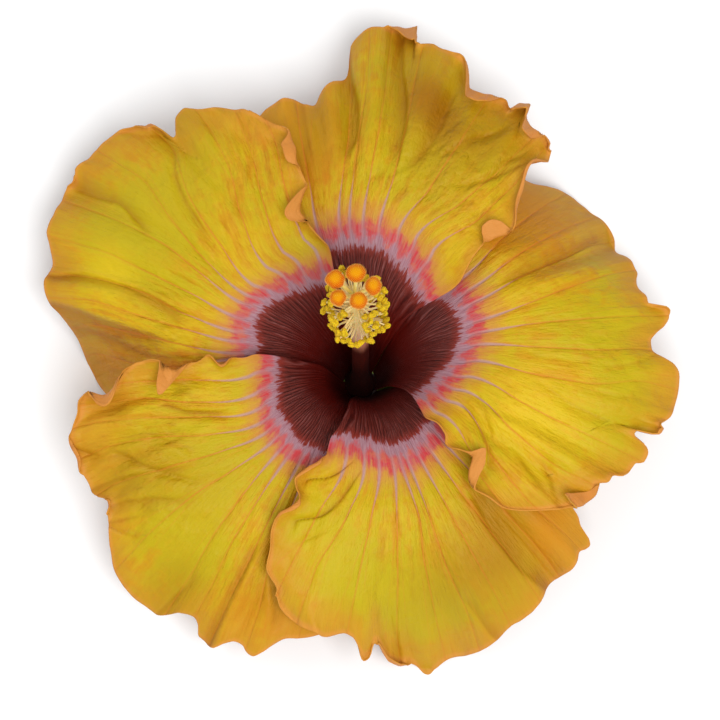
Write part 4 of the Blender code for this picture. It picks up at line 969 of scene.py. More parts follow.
class Tissue:
    """Tints of one side of a petal, and the measures and patterns that its looks follow."""

    def __init__(self, tree, upper):
        self.tint = {}
        for name, (above, below) in PETAL_TINTS.items():
            self.tint[name] = colour(*above) if upper else colour(*below)
        self.around, self.outward, self.past_eye = parts_of(tree, "place")
        self.number, self.gap, self.fork = parts_of(tree, "lines")
        # The creases' painted shade, the blushes' painted glow and the share of the halo; then the edge,
        # the tones' painted shading and the crinkles
        self.crease, self.blush, self.halo = parts_of(tree, "tint")
        self.edge, self.tone, self.crinkled = parts_of(tree, "edge")
        self.green = node(tree, "ShaderNodeAttribute", attribute_name="green").outputs["Fac"]
        self.where = node(tree, "ShaderNodeTexCoord").outputs["Object"]

        # Streaks along the veins, clouds and a fine mottle
        self.streak = brushed(tree, self.number, self.outward, *STREAKS)
        self.fine = brushed(tree, self.number, self.outward, *FINE_STREAKS)
        self.folding = brushed(tree, self.number, self.outward, *FOLDING)
        self.cloud = speckle(tree, self.where, *CLOUDS)
        self.mottle = speckle(tree, self.where, *MOTTLE)
        self.warm = sum_of(tree, "ADD", sum_of(tree, "MULTIPLY", self.streak, WARM_SHARES[0]),
                           sum_of(tree, "MULTIPLY", self.mottle, WARM_SHARES[1]))

        # Strokes, hairs and blots that make the eye and its bands ragged
        self.strokes = brushed(tree, self.around, self.outward, *STROKES)
        self.hairs = brushed(tree, self.around, self.outward, *HAIRS)
        self.blots = brushed(tree, self.around, self.outward, *BLOTS)
        self.jag = sum_of(tree, "ADD", swung(tree, self.strokes, JAG_SWAY[0]),
                          swung(tree, self.hairs, JAG_SWAY[1]))

        # Measures made uneven by the patterns
        stripes = sum_of(tree, "ADD", swung(tree, self.streak, GREEN_SWAY[0]),
                         swung(tree, self.mottle, GREEN_SWAY[1]), GREEN_OFFSET)
        self.greening = sum_of(tree, "ADD", self.green, stripes)
        # The blushes' painted glow, made uneven
        self.blushing = sum_of(tree, "ADD", self.blush, swung(tree, self.warm, PAINTED_GLOW_SWAY))
        self.ragged_edge = sum_of(tree, "ADD", self.edge, swung(tree, self.cloud, RIM_SWAY[0]),
                                  swung(tree, self.streak, RIM_SWAY[1]))
        # The creases' painted shade, made uneven
        self.painted_crease_shade = sum_of(tree, "ADD", self.crease, swung(tree, self.warm, PAINTED_CREASE_SHADE_SWAY))
        # The tones' painted shading, made uneven
        self.toned = sum_of(tree, "ADD", self.tone, swung(tree, self.warm, PAINTED_SHADING_SWAY))
        self.past_ragged_eye = sum_of(tree, "ADD", self.past_eye, self.jag,
                                      swung(tree, self.blots, EYE_BLOTS))

        # How far a point is from the line of its vein, where the vein number is whole, and from that
        # vein's two branches
        signed = sum_of(tree, "SUBTRACT", self.number, sum_of(tree, "ROUND", self.number))
        off_middle = sum_of(tree, "ABSOLUTE", signed)
        self.from_vein = sum_of(tree, "MULTIPLY", off_middle, self.gap)
        off_branch = sum_of(tree, "ABSOLUTE", sum_of(tree, "SUBTRACT", off_middle, self.fork))
        from_branch = sum_of(tree, "MULTIPLY", off_branch, self.gap)
        unopened = soft_step(tree, self.fork, BRANCH_OPENING, 0.0)
        self.from_branch = sum_of(tree, "ADD", from_branch, unopened)


def stepped(tree, tissue, shade, steps):
    """Shade after some steps, each laid over it where what the step follows says so."""
    for follows, start, full, share, tint in steps:
        covering = soft_step(tree, getattr(tissue, follows), start, full, share)
        shade = mixed(tree, covering, shade, tissue.tint[tint])
    return shade


def blade_colour(tree, tissue):
    """Yellow of the blade, with its streaks, fields and rims, painted glow where petals overlap, painted
    shade in its crinkles and creases, and spots of painted shading.
    """
    body = stepped(tree, tissue, tissue.tint["yellow"], BLADE_STEPS)
    # Painted shade in the crinkles
    painted_wrinkle_shade = sum_of(tree, "MULTIPLY", soft_step(tree, tissue.folding, *PAINTED_WRINKLE_SHADE_SPAN),
                   soft_step(tree, tissue.crinkled, *PAINTED_WRINKLE_SHADE_CRINKLES))
    body = mixed(tree, painted_wrinkle_shade, body, tissue.tint["deep"])
    return stepped(tree, tissue, body, PAINTED_SHADING_STEPS)


def with_veins(tree, tissue, body):
    """The blade's colour with thin orange veins, which fade outward, and their fainter branches."""
    faint = sum_of(tree, "ADD", soft_step(tree, tissue.past_eye, *VEIN_FADE), VEIN_LEAST)
    shown = sum_of(tree, "MULTIPLY", soft_step(tree, tissue.past_eye, *VEIN_START), faint)
    thin = sum_of(tree, "MULTIPLY", soft_step(tree, tissue.from_vein, *VEIN_WIDTHS), shown)
    broken = sum_of(tree, "MULTIPLY", shown, soft_step(tree, tissue.fine, *BRANCH_BREAKS))
    branches = sum_of(tree, "MULTIPLY", soft_step(tree, tissue.from_branch, *BRANCH_WIDTHS), broken)
    return mixed(tree, sum_of(tree, "MAXIMUM", thin, branches), body, tissue.tint["vein"])


def with_bands(tree, tissue, body):
    """The blade's colour with ragged bands of apricot, pink and lilac round the eye, crossed by the
    roots of the veins, which are wide at the eye and narrower outward."""
    tint = tissue.tint
    ragged = sum_of(tree, "ADD", tissue.halo, swung(tree, tissue.blots, BAND_BLOTS),
                    sum_of(tree, "MULTIPLY", tissue.jag, BAND_JAG))
    lilac_end = sum_of(tree, "ADD", ragged, soft_step(tree, tissue.from_vein, *LILAC_SPIKES))
    band = sum_of(tree, "ADD", sum_of(tree, "SUBTRACT", ragged, BAND_OFFSET),
                  soft_step(tree, tissue.from_vein, *PINK_SPIKES))
    face = mixed(tree, soft_step(tree, band, *APRICOT_SPAN), body, tint["apricot"])
    pinks = stepped(tree, tissue, tint["pink"], PINK_STEPS)
    face = mixed(tree, soft_step(tree, band, *PINK_SPAN), face, pinks)
    root_width = soft_step(tree, tissue.past_eye, *ROOT_REACH, ROOT_HALF_WIDTH)
    root_width = sum_of(tree, "MAXIMUM", root_width, ROOT_LEAST_WIDTH)
    root = soft_step(tree, sum_of(tree, "DIVIDE", tissue.from_vein, root_width), *ROOT_SPAN)
    in_bands = sum_of(tree, "ADD", soft_step(tree, tissue.halo, *ROOT_IN_BANDS), ROOT_LEAST)
    root_depth = sum_of(tree, "MULTIPLY", soft_step(tree, tissue.past_eye, *ROOT_FADE), in_bands)
    face = mixed(tree, sum_of(tree, "MULTIPLY", root, root_depth), face, tint["vein_root"])
    lilacs = stepped(tree, tissue, tint["lilac"], LILAC_STEPS)
    return mixed(tree, soft_step(tree, lilac_end, *LILAC_SPAN), face, lilacs)


def eye_colour(tree, tissue):
    """Colour of the dark eye, with painted shade in its ribs' valleys and painted highlights on their
    crests, and the grain and ribs that its relief follows.
    """
    tint = tissue.tint
    grain = brushed(tree, tissue.around, tissue.outward, *EYE_GRAIN)
    wander = brushed(tree, tissue.number, tissue.outward, *RIB_WANDER)
    patches = brushed(tree, tissue.number, tissue.outward, *RIB_PATCHES)
    rib_number = sum_of(tree, "ADD", sum_of(tree, "MULTIPLY", tissue.number, RIBS_PER_VEIN),
                        swung(tree, wander, RIB_SWAY))
    rib_side = sum_of(tree, "SUBTRACT", rib_number, sum_of(tree, "ROUND", rib_number))
    rib_off = sum_of(tree, "ABSOLUTE", rib_side)
    dark = mixed(tree, soft_step(tree, grain, *GRAIN_SPAN), tint["maroon"], tint["maroon_deep"])
    dark = mixed(tree, soft_step(tree, tissue.past_eye, *EYE_RIM_SPAN), dark, tint["eye_rim"])
    # Painted shade in the ribs' valleys, and painted highlights on their crests
    painted_rib_shades = sum_of(tree, "MULTIPLY", soft_step(tree, rib_side, *PAINTED_RIB_SHADE_SPAN),
                     soft_step(tree, tissue.past_eye, *PAINTED_RIB_SHADE_REACH))
    dark = mixed(tree, painted_rib_shades, dark, tint["painted_rib_shade"])
    painted_rib_highlights = sum_of(tree, "MULTIPLY", soft_step(tree, patches, *PAINTED_HIGHLIGHT_PATCHES),
                    soft_step(tree, tissue.past_eye, *PAINTED_HIGHLIGHT_REACH),
                    soft_step(tree, rib_off, *PAINTED_HIGHLIGHT_SPAN))
    dark = mixed(tree, painted_rib_highlights, dark, tint["painted_rib_highlight"])
    return stepped(tree, tissue, dark, THROAT_STEPS), grain, soft_step(tree, rib_off, *RIB_SPAN)


def petal_relief(tree, tissue, grain, ribs):
    """Fine relief: a groove on each vein, ribs along the blade and a soft crinkle."""
    groove = soft_step(tree, tissue.from_vein, 0.0, VEIN_HALF_WIDTH)
    grain_height = sum_of(tree, "ADD", soft_step(tree, tissue.past_eye, *GRAIN_RELIEF),
                          GRAIN_LEAST_RELIEF)
    relief = sum_of(tree, "ADD", sum_of(tree, "MULTIPLY", groove, GROOVE_RELIEF),
                    sum_of(tree, "MULTIPLY", ribs, soft_step(tree, tissue.past_eye, *RIB_RELIEF)),
                    sum_of(tree, "MULTIPLY", grain, grain_height),
                    sum_of(tree, "MULTIPLY", tissue.fine, FINE_RELIEF),
                    sum_of(tree, "MULTIPLY", tissue.mottle, MOTTLE_RELIEF))
    ribbed = node(tree, "ShaderNodeBump",
                  {"Strength": RIB_STRENGTH, "Distance": RIB_DEPTH * MM, "Height": relief}).outputs[0]
    along = sum_of(tree, "ABSOLUTE", swung(tree, tissue.folding, LONG_WRINKLES))
    speckles = speckle(tree, tissue.where, *SPECKLES)
    round_ones = sum_of(tree, "ABSOLUTE", swung(tree, speckles, ROUND_WRINKLES))
    puckers = sum_of(tree, "MULTIPLY", sum_of(tree, "ADD", along, round_ones),
                     sum_of(tree, "ADD", tissue.crinkled, LEAST_CRINKLES))
    return node(tree, "ShaderNodeBump",
                {"Strength": WRINKLE_STRENGTH, "Distance": WRINKLE_DEPTH * MM, "Height": puckers,
                 "Normal": ribbed}).outputs[0]


def petal_finish(name, upper):
    """Petal tissue, its upper side bright and marked, its lower side peach and duller."""
    material = bpy.data.materials.new(name)
    material.use_nodes = True
    tree = material.node_tree
    tree.nodes.clear()
    tissue = Tissue(tree, upper)
    blade_shade = with_veins(tree, tissue, blade_colour(tree, tissue))
    face = with_bands(tree, tissue, blade_shade)
    dark, grain, ribs = eye_colour(tree, tissue)
    face = mixed(tree, soft_step(tree, tissue.past_ragged_eye, *EYE_SPAN), face, dark)
    normal = petal_relief(tree, tissue, grain, ribs)
    dullness = sum_of(tree, "MULTIPLY", soft_step(tree, tissue.past_ragged_eye, *EYE_GLOSS_SPAN),
                      BLADE_ROUGHNESS - EYE_ROUGHNESS)
    roughness = sum_of(tree, "ADD", dullness, EYE_ROUGHNESS)
    skin = node(tree, "ShaderNodeBsdfPrincipled",
                {"Base Color": face, "Roughness": roughness, "Normal": normal,
                 "Specular IOR Level": PETAL_SHEEN})
    glow = node(tree, "ShaderNodeBsdfTranslucent", {"Color": face, "Normal": normal})
    both = node(tree, "ShaderNodeMixShader", {0: LIGHT_THROUGH, 1: skin.outputs[0], 2: glow.outputs[0]})
    node(tree, "ShaderNodeOutputMaterial", {"Surface": both.outputs[0]})
    return material


def add_wall(piece, thickness, lower_finish=0):
    """Gives a sheet a smooth wall of a thickness in millimetres, half of it on each side."""
    wall = piece.modifiers.new("wall", "SOLIDIFY")
    wall.thickness = thickness * MM
    wall.offset = 0.0
    wall.material_offset = lower_finish
    bpy.ops.object.select_all(action="DESELECT")
    bpy.context.view_layer.objects.active = piece
    piece.select_set(True)
    bpy.ops.object.modifier_apply(modifier=wall.name)
    piece.select_set(False)
    piece.data.shade_smooth()


upper_side = petal_finish("petal upper side", True)
lower_side = petal_finish("petal lower side", False)
for petal in PETALS:
    bpy.ops.mesh.primitive_grid_add(x_subdivisions=ACROSS, y_subdivisions=ALONG, size=1.0)
    blade = bpy.context.object
    blade.name = petal["name"] + "_blade"
    flat = np.zeros(len(blade.data.vertices) * 3)
    blade.data.vertices.foreach_get("co", flat)
    flat = flat.reshape(-1, 3)
    s = np.clip(flat[:, 0] + 0.5, 0, 1)
    t = 1 - (1 - np.clip(flat[:, 1] + 0.5, 0, 1)) ** RIM_CROWDING
    points, measures = petal_fields(petal, s, t)
    blade.data.vertices.foreach_set("co", points.ravel())
    for label, values in measures.items():
        kind = "FLOAT" if values.ndim == 1 else "FLOAT_VECTOR"
        layer = blade.data.attributes.new(label, kind, "POINT")
        layer.data.foreach_set("value" if kind == "FLOAT" else "vector", values.ravel())
    blade.data.update()
    blade.data.materials.append(upper_side)
    blade.data.materials.append(lower_side)
    add_wall(blade, PETAL_THICKNESS, lower_finish=1)
    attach(blade, "root")
    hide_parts(petal["name"])

# Column of stamens. A slender hollow tube round the style, dark red in the throat, partly its own red
# and partly painted shade, and cream above, grown as one with its stamens. Each stamen is a thin pale
# filament that ends in a kidney-shaped anther covered with yellow pollen.
COLUMN_PATH_X = [(3, 0.0), (29, 0.0), (45, -0.5), (70, -1.3)]
COLUMN_PATH_Y = [(3, -4.58), (29, 0.0), (48, 3.1), (70, 5.6)]
COLUMN_RADII = [(3.4, 3.9), (4.6, 3.6), (6.5, 2.8), (13.0, 2.05), (28.0, 2.0), (42.0, 2.0), (48.0, 1.5),
                (60.0, 1.3)]
COLUMN_SIDES = 28
COLUMN_RINGS = 60
COLUMN_TOP_CUT = 0.499
COLUMN_RIBS = 5
COLUMN_RIB_HEIGHT = 0.05
TUBE_SHADES = [(232, 208, 150), (224, 198, 128), (242, 226, 184)]
TUBE_GRAIN = 900.0
TUBE_RELIEF_DEPTH = 0.12
TUBE_SHEEN = 0.2

# Soft tissue of the smaller pieces, its clouds and flecks, its relief, sheen and inner glow
TISSUE_CLOUDS = (0.35, 0.65)
TISSUE_FLECKS = (0.52, 0.72, 0.7)
TISSUE_GRAINS_PER_CLOUD = 6
TISSUE_RELIEF = 0.6
TISSUE_SHEEN = 0.35
TISSUE_GLOW = 0.15
TISSUE_GLOW_DEPTH = 0.8

# Darker shades toward the tube's foot, each by the heights it starts and is full at: pinkish, then dark
# red and near black low in the throat, partly its own red and partly painted shade
TUBE_FOOT_REDS_AND_PAINTED_SHADE = [(47.0, 40.0, (206, 164, 130)), (40.0, 34.0, (176, 112, 88)),
                    (36.0, 28.5, (58, 14, 8)), (26.0, 16.0, (30, 5, 3))]

# Filaments, in a spiral up the tube, those in front pushed aside to the left and right
STAMENS = 104
STAMEN_ZONE = (43.5, 59.0)
STAMEN_SHIFT = 0.6
STAMEN_TURN = 137.5
STAMEN_TURN_SPREAD = 16
FILAMENT_LENGTHS = [(0, 5.0), (0.35, 6.8), (0.75, 6.9), (1, 5.4)]
FILAMENT_STRETCH = (0.82, 1.06)
FILAMENT_RISES = (2, 30)
FILAMENT_TOP_RISE = 22
FILAMENT_SAGS = (-0.5, 0.7)
FILAMENT_SIDES = (-0.5, 0.5)
FILAMENT_SWING = 0.3
FILAMENT_RADIUS = 0.19
FILAMENT_FOOT = 1.0
FILAMENT_STEPS = 6
FRONT_TURN = -90.0
FRONT_REACH = 55.0
FRONT_PUSH = 12.0
FRONT_START = 0.3

# Anthers, each a ball pressed to a kidney with a groove along its back and a lumpy coat of pollen
ANTHER_RADIUS = 0.8
ANTHER_SIZES = (0.86, 1.12)
ANTHER_SWINGS = (-0.9, 0.9)
ANTHER_NODS = (-0.9, 0.9)
ANTHER_TILTS = (-1.2, 1.2)
ANTHER_SHARES = (1.12, 0.78, 0.80)
ANTHER_GROOVE = 0.34
ANTHER_GROOVE_WIDTH = 0.28
ANTHER_BEND = 0.42
ANTHER_DROP = 0.15
POLLEN_COAT = 0.36
POLLEN_COAT_FINENESS = 3.6
POLLEN_SHADES = [(226, 190, 4), (206, 168, 0), (238, 208, 30)]
POLLEN_GRAIN = 1500.0
POLLEN_ROUGHNESS = 0.8
POLLEN_LUMP_DEPTH = 0.2
POLLEN_CELLS = 4200.0
POLLEN_CELL_DEPTH = 0.12
# Painted shade between the pollen grains: where it starts and is full, how much it covers, and its colour
POLLEN_PAINTED_SHADE_GAPS = (0.45, 0.85, 0.7)
POLLEN_GAP_PAINTED_SHADE = (140, 100, 0)


def column_place(x, y, z):
    """Place of a point that is drawn round a straight upright column, in metres."""
    shift_x = float(through(z, COLUMN_PATH_X))
    shift_y = float(through(z, COLUMN_PATH_Y))
    return Vector((x + shift_x + AXIS_X, y + shift_y + AXIS_Y, z)) * MM


def tissue_finish(name, shades, grain_scale, depth, rough=0.5):
    """Soft plant tissue of two shades with paler flecks, and a low relief of a depth in millimetres
    that follows its fine grain."""
    low, high, flecks = [colour(*shade) for shade in shades]
    material = bpy.data.materials.new(name)
    material.use_nodes = True
    tree = material.node_tree
    skin = tree.nodes["Principled BSDF"]
    where = node(tree, "ShaderNodeTexCoord").outputs["Object"]
    grain = speckle(tree, where, grain_scale, 3.0, 0.6)
    cloud = speckle(tree, where, grain_scale / TISSUE_GRAINS_PER_CLOUD)
    shade = mixed(tree, soft_step(tree, cloud, *TISSUE_CLOUDS), low, high)
    shade = mixed(tree, soft_step(tree, grain, *TISSUE_FLECKS), shade, flecks)
    tree.links.new(shade, skin.inputs["Base Color"])
    relief = {"Strength": TISSUE_RELIEF, "Distance": depth * MM, "Height": grain}
    tree.links.new(node(tree, "ShaderNodeBump", relief).outputs[0], skin.inputs["Normal"])
    skin.inputs["Roughness"].default_value = rough
    skin.inputs["Specular IOR Level"].default_value = TISSUE_SHEEN
    skin.inputs["Subsurface Weight"].default_value = TISSUE_GLOW
    skin.inputs["Subsurface Scale"].default_value = TISSUE_GLOW_DEPTH * MM
    return material


def column_finish():
    """Tube tissue, dark red low in the throat, partly its own red and partly painted shade, pinkish above
    it, then cream.
    """
    material = tissue_finish("column tissue", TUBE_SHADES, TUBE_GRAIN, TUBE_RELIEF_DEPTH)
    tree = material.node_tree
    skin = tree.nodes["Principled BSDF"]
    shade = skin.inputs["Base Color"].links[0].from_socket
    where = node(tree, "ShaderNodeTexCoord").outputs["Object"]
    height = node(tree, "ShaderNodeSeparateXYZ", {0: where}).outputs[2]
    for start_z, full_z, darker in TUBE_FOOT_REDS_AND_PAINTED_SHADE:
        share = soft_step(tree, height, start_z * MM, full_z * MM)
        shade = mixed(tree, share, shade, colour(*darker))
    tree.links.new(shade, skin.inputs["Base Color"])
    skin.inputs["Specular IOR Level"].default_value = TUBE_SHEEN
    return material


def pollen_finish():
    """Yellow pollen, round grains that lie close, with painted shade between them."""
    material = tissue_finish("pollen", POLLEN_SHADES, POLLEN_GRAIN, POLLEN_LUMP_DEPTH, POLLEN_ROUGHNESS)
    tree = material.node_tree
    skin = tree.nodes["Principled BSDF"]
    plain = skin.inputs["Base Color"].links[0].from_socket
    where = node(tree, "ShaderNodeTexCoord").outputs["Object"]
    cells = node(tree, "ShaderNodeTexVoronoi", {"Vector": where, "Scale": POLLEN_CELLS})
    between = cells.outputs["Distance"]
    # Painted shade between the grains
    shade = mixed(tree, soft_step(tree, between, *POLLEN_PAINTED_SHADE_GAPS), plain, colour(*POLLEN_GAP_PAINTED_SHADE))
    tree.links.new(shade, skin.inputs["Base Color"])
    relief = {"Strength": 1.0, "Distance": POLLEN_CELL_DEPTH * MM, "Height": between}
    bump = node(tree, "ShaderNodeBump", relief)
    bump.invert = True
    tree.links.new(bump.outputs[0], skin.inputs["Normal"])
    return material


def new_ball(radius, subdivisions):
    """Round solid at the origin, deselected."""
    bpy.ops.mesh.primitive_ico_sphere_add(radius=radius, subdivisions=subdivisions)
    made = bpy.context.object
    made.select_set(False)
    return made


def copy_of(pattern, move):
    """Copy of a piece, moved, with a mesh of its own."""
    made = pattern.copy()
    made.data = pattern.data.copy()
    bpy.context.scene.collection.objects.link(made)
    made.data.transform(move)
    return made


def joined(pieces, name):
    """One object made of several."""
    bpy.ops.object.select_all(action="DESELECT")
    for piece in pieces:
        piece.select_set(True)
    bpy.context.view_layer.objects.active = pieces[0]
    bpy.ops.object.join()
    made = bpy.context.object
    made.name = name
    made.select_set(False)
    return made


def meshed(name, line):
    """Smooth mesh of a curve that has a thickness."""
    made = bpy.data.objects.new(name, line)
    bpy.context.scene.collection.objects.link(made)
    bpy.ops.object.select_all(action="DESELECT")
    made.select_set(True)
    bpy.context.view_layer.objects.active = made
    bpy.ops.object.convert(target="MESH")
    made = bpy.context.object
    made.data.shade_smooth()
    made.select_set(False)
    return made


bpy.ops.mesh.primitive_cylinder_add(vertices=COLUMN_SIDES, radius=1.0, depth=1.0, end_fill_type="NGON")
tube = bpy.context.object
bpy.ops.object.mode_set(mode="EDIT")
bpy.ops.mesh.select_all(action="SELECT")
bpy.ops.mesh.bisect(plane_co=(0, 0, COLUMN_TOP_CUT), plane_no=(0, 0, 1))
for ring in range(1, COLUMN_RINGS):
    bpy.ops.mesh.select_all(action="SELECT")
    bpy.ops.mesh.bisect(plane_co=(0, 0, ring / COLUMN_RINGS - 0.5), plane_no=(0, 0, 1))
bpy.ops.object.mode_set(mode="OBJECT")
foot_z = COLUMN_RADII[0][0]
top_z = COLUMN_RADII[-1][0]
for vertex in tube.data.vertices:
    z = foot_z + (top_z - foot_z) * (vertex.co.z + 0.5)
    angle = math.atan2(vertex.co.y, vertex.co.x)
    reach = math.hypot(vertex.co.x, vertex.co.y)
    ribs = 1 + COLUMN_RIB_HEIGHT * math.cos(COLUMN_RIBS * angle)
    width = float(through(z, COLUMN_RADII)) * ribs * reach
    vertex.co = column_place(width * math.cos(angle), width * math.sin(angle), z)
tube.data.shade_smooth()
tube.select_set(False)

draw = random.Random(5)
threads = bpy.data.curves.new("filaments", "CURVE")
threads.dimensions = "3D"
threads.bevel_depth = FILAMENT_RADIUS * MM
threads.bevel_resolution = 1
threads.use_fill_caps = True
tips = []
for index in range(STAMENS):
    share = (index + 0.5) / STAMENS
    foot = STAMEN_ZONE[0] + (STAMEN_ZONE[1] - STAMEN_ZONE[0]) * share
    foot += draw.uniform(-STAMEN_SHIFT, STAMEN_SHIFT)
    turn = STAMEN_TURN * index + draw.uniform(-STAMEN_TURN_SPREAD, STAMEN_TURN_SPREAD)
    turn = (turn - FRONT_TURN + 180) % 360 - 180
    if share > FRONT_START and abs(turn) < FRONT_REACH:
        turn += math.copysign(FRONT_PUSH * (1 - abs(turn) / FRONT_REACH) * min(1, 2 * share), turn)
    angle = math.radians(turn + FRONT_TURN)
    length = float(through(share, FILAMENT_LENGTHS)) * draw.uniform(*FILAMENT_STRETCH)
    rise = math.radians(draw.uniform(*FILAMENT_RISES) + FILAMENT_TOP_RISE * share)
    sag = draw.uniform(*FILAMENT_SAGS)
    side = draw.uniform(*FILAMENT_SIDES)
    spline = threads.splines.new("POLY")
    spline.points.add(FILAMENT_STEPS)
    for step, point in enumerate(spline.points):
        u = step / FILAMENT_STEPS
        reach = FILAMENT_FOOT + length * math.cos(rise) * u
        bow = math.sin(math.pi * u)
        turn = angle + side * bow * FILAMENT_SWING
        z = foot + length * math.sin(rise) * u + sag * bow
        point.co = (*column_place(reach * math.cos(turn), reach * math.sin(turn), z), 1.0)
    tips.append((Vector(point.co[:3]), angle))
filaments = meshed("filaments", threads)

anther = new_ball(1.0, 3)
for vertex in anther.data.vertices:
    x, y, z = vertex.co
    groove = ANTHER_GROOVE * math.exp(-((y / ANTHER_GROOVE_WIDTH) ** 2)) * max(z, 0.0)
    raised = ANTHER_BEND * x * x - ANTHER_DROP - groove
    lump = 1 + POLLEN_COAT * noise.noise(Vector((x, y, z)) * POLLEN_COAT_FINENESS)
    vertex.co = Vector((ANTHER_SHARES[0] * x, ANTHER_SHARES[1] * y, ANTHER_SHARES[2] * z + raised)) * lump
anther.data.shade_smooth()
anthers = []
for tip, angle in tips:
    size = ANTHER_RADIUS * draw.uniform(*ANTHER_SIZES) * MM
    swing = Matrix.Rotation(angle + draw.uniform(*ANTHER_SWINGS), 4, "Z")
    nod = Matrix.Rotation(draw.uniform(*ANTHER_NODS), 4, "Y")
    tilt = Matrix.Rotation(draw.uniform(*ANTHER_TILTS), 4, "X")
    turn = Matrix.Rotation(math.pi / 2, 4, "Z")
    move = Matrix.Translation(tip) @ swing @ nod @ tilt @ turn @ Matrix.Scale(size, 4)
    anthers.append(copy_of(anther, move))
bpy.data.objects.remove(anther)
pollen = joined(anthers, "anthers")
pollen.data.materials.append(pollen_finish())
column = joined([tube, filaments], "column")
column.data.materials.append(column_finish())
for piece in (column, pollen):
    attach(piece, "root")
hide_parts("staminal_column")

# Pistil. The ovary sits inside the tube's foot, and its long style runs up through the tube and
# parts above the stamens into five branches, each ending in a domed orange pad with short hairs.
# A pad is told by the place of its middle, its half width, its half length and how uneven it is.
PADS = [(-4.05, 1.9, 67.6, 2.02, 1.9, 0.12), (0.45, 3.1, 68.4, 2.02, 1.9, 0.05),
        (4.17, 0.45, 67.8, 1.68, 1.92, 0.06), (-3.35, -2.4, 68.6, 1.62, 1.7, 0.10),
        (1.0, -3.15, 69.2, 1.84, 1.78, 0.04)]
PAD_DOME = 1.55
PAD_BELLY = 1.2
PAD_LUMPS = 1.3
PAD_HAIRS = 260
PAD_HAIR_ZONE = 1.5
PAD_HAIR_DOME = 1.5
PAD_SHADE = (206, 138, 0)
PAD_RIM_SHADE = (196, 94, 0)
PAD_FLECK_SHADE = (220, 150, 6)
PAD_RIM_SPAN = (0.35, 0.95)
PAD_FLECKS = (0.55, 0.8, 0.4)
PAD_GRAIN = 5200.0
PAD_RELIEF = 0.7
PAD_RELIEF_DEPTH = 0.15
PAD_ROUGHNESS = 0.8
PAD_SHEEN = 0.1
HAIR_LENGTH = 0.28
HAIR_RADII = (0.055, 0.03)
HAIR_STANDING = 0.4
HAIR_SHADES = [(236, 166, 60), (230, 150, 40), (240, 190, 110)]
STYLE_SHADES = [(232, 218, 130), (226, 200, 96), (244, 232, 176)]

# Ovary and style, by height and radius, and the branches that part from the style
STYLE_PROFILE = [(3.5, 1.2), (4.5, 1.2), (6.0, 1.2), (7.5, 1.0), (8.6, 0.7), (10.5, 0.45), (20, 0.45),
                 (28, 0.45), (36, 0.45), (44, 0.45), (50, 0.45), (56, 0.45), (60.5, 0.45), (61.4, 0.62),
                 (62.4, 0.55)]
BRANCH_FOOT_Z = 61.2
BRANCH_RADIUS = 0.42
BRANCH_STEPS = 8
BRANCH_FOOT_SHARE = 0.08
BRANCH_SPREAD = (0.0, 1.15)


def bar(name, points, radii):
    """Round bar along the points, thick as told at each, as a mesh with closed ends."""
    line = bpy.data.curves.new(name, "CURVE")
    line.dimensions = "3D"
    line.bevel_depth = 1.0
    line.bevel_resolution = 4
    line.use_fill_caps = True
    spline = line.splines.new("POLY")
    spline.points.add(len(points) - 1)
    for point, corner, radius in zip(spline.points, points, radii):
        point.co = (*corner, 1.0)
        point.radius = radius * MM
    return meshed(name, line)


def pad_finish():
    """Velvety stigma, deep orange in the middle and paler at its hairy edge."""
    material = bpy.data.materials.new("stigma velvet")
    material.use_nodes = True
    tree = material.node_tree
    skin = tree.nodes["Principled BSDF"]
    rim = node(tree, "ShaderNodeAttribute", attribute_name="rim").outputs["Fac"]
    where = node(tree, "ShaderNodeTexCoord").outputs["Object"]
    grain = speckle(tree, where, PAD_GRAIN, 2.0, 0.6)
    shade = mixed(tree, soft_step(tree, rim, *PAD_RIM_SPAN), colour(*PAD_SHADE), colour(*PAD_RIM_SHADE))
    shade = mixed(tree, soft_step(tree, grain, *PAD_FLECKS), shade, colour(*PAD_FLECK_SHADE))
    tree.links.new(shade, skin.inputs["Base Color"])
    relief = {"Strength": PAD_RELIEF, "Distance": PAD_RELIEF_DEPTH * MM, "Height": grain}
    tree.links.new(node(tree, "ShaderNodeBump", relief).outputs[0], skin.inputs["Normal"])
    skin.inputs["Roughness"].default_value = PAD_ROUGHNESS
    skin.inputs["Specular IOR Level"].default_value = PAD_SHEEN
    return material


def pad_lump(across, along, z, uneven):
    """How far a pad swells in a direction, as a factor."""
    return 1 + 2 * uneven * noise.noise(Vector((PAD_LUMPS * across, PAD_LUMPS * along, z)))


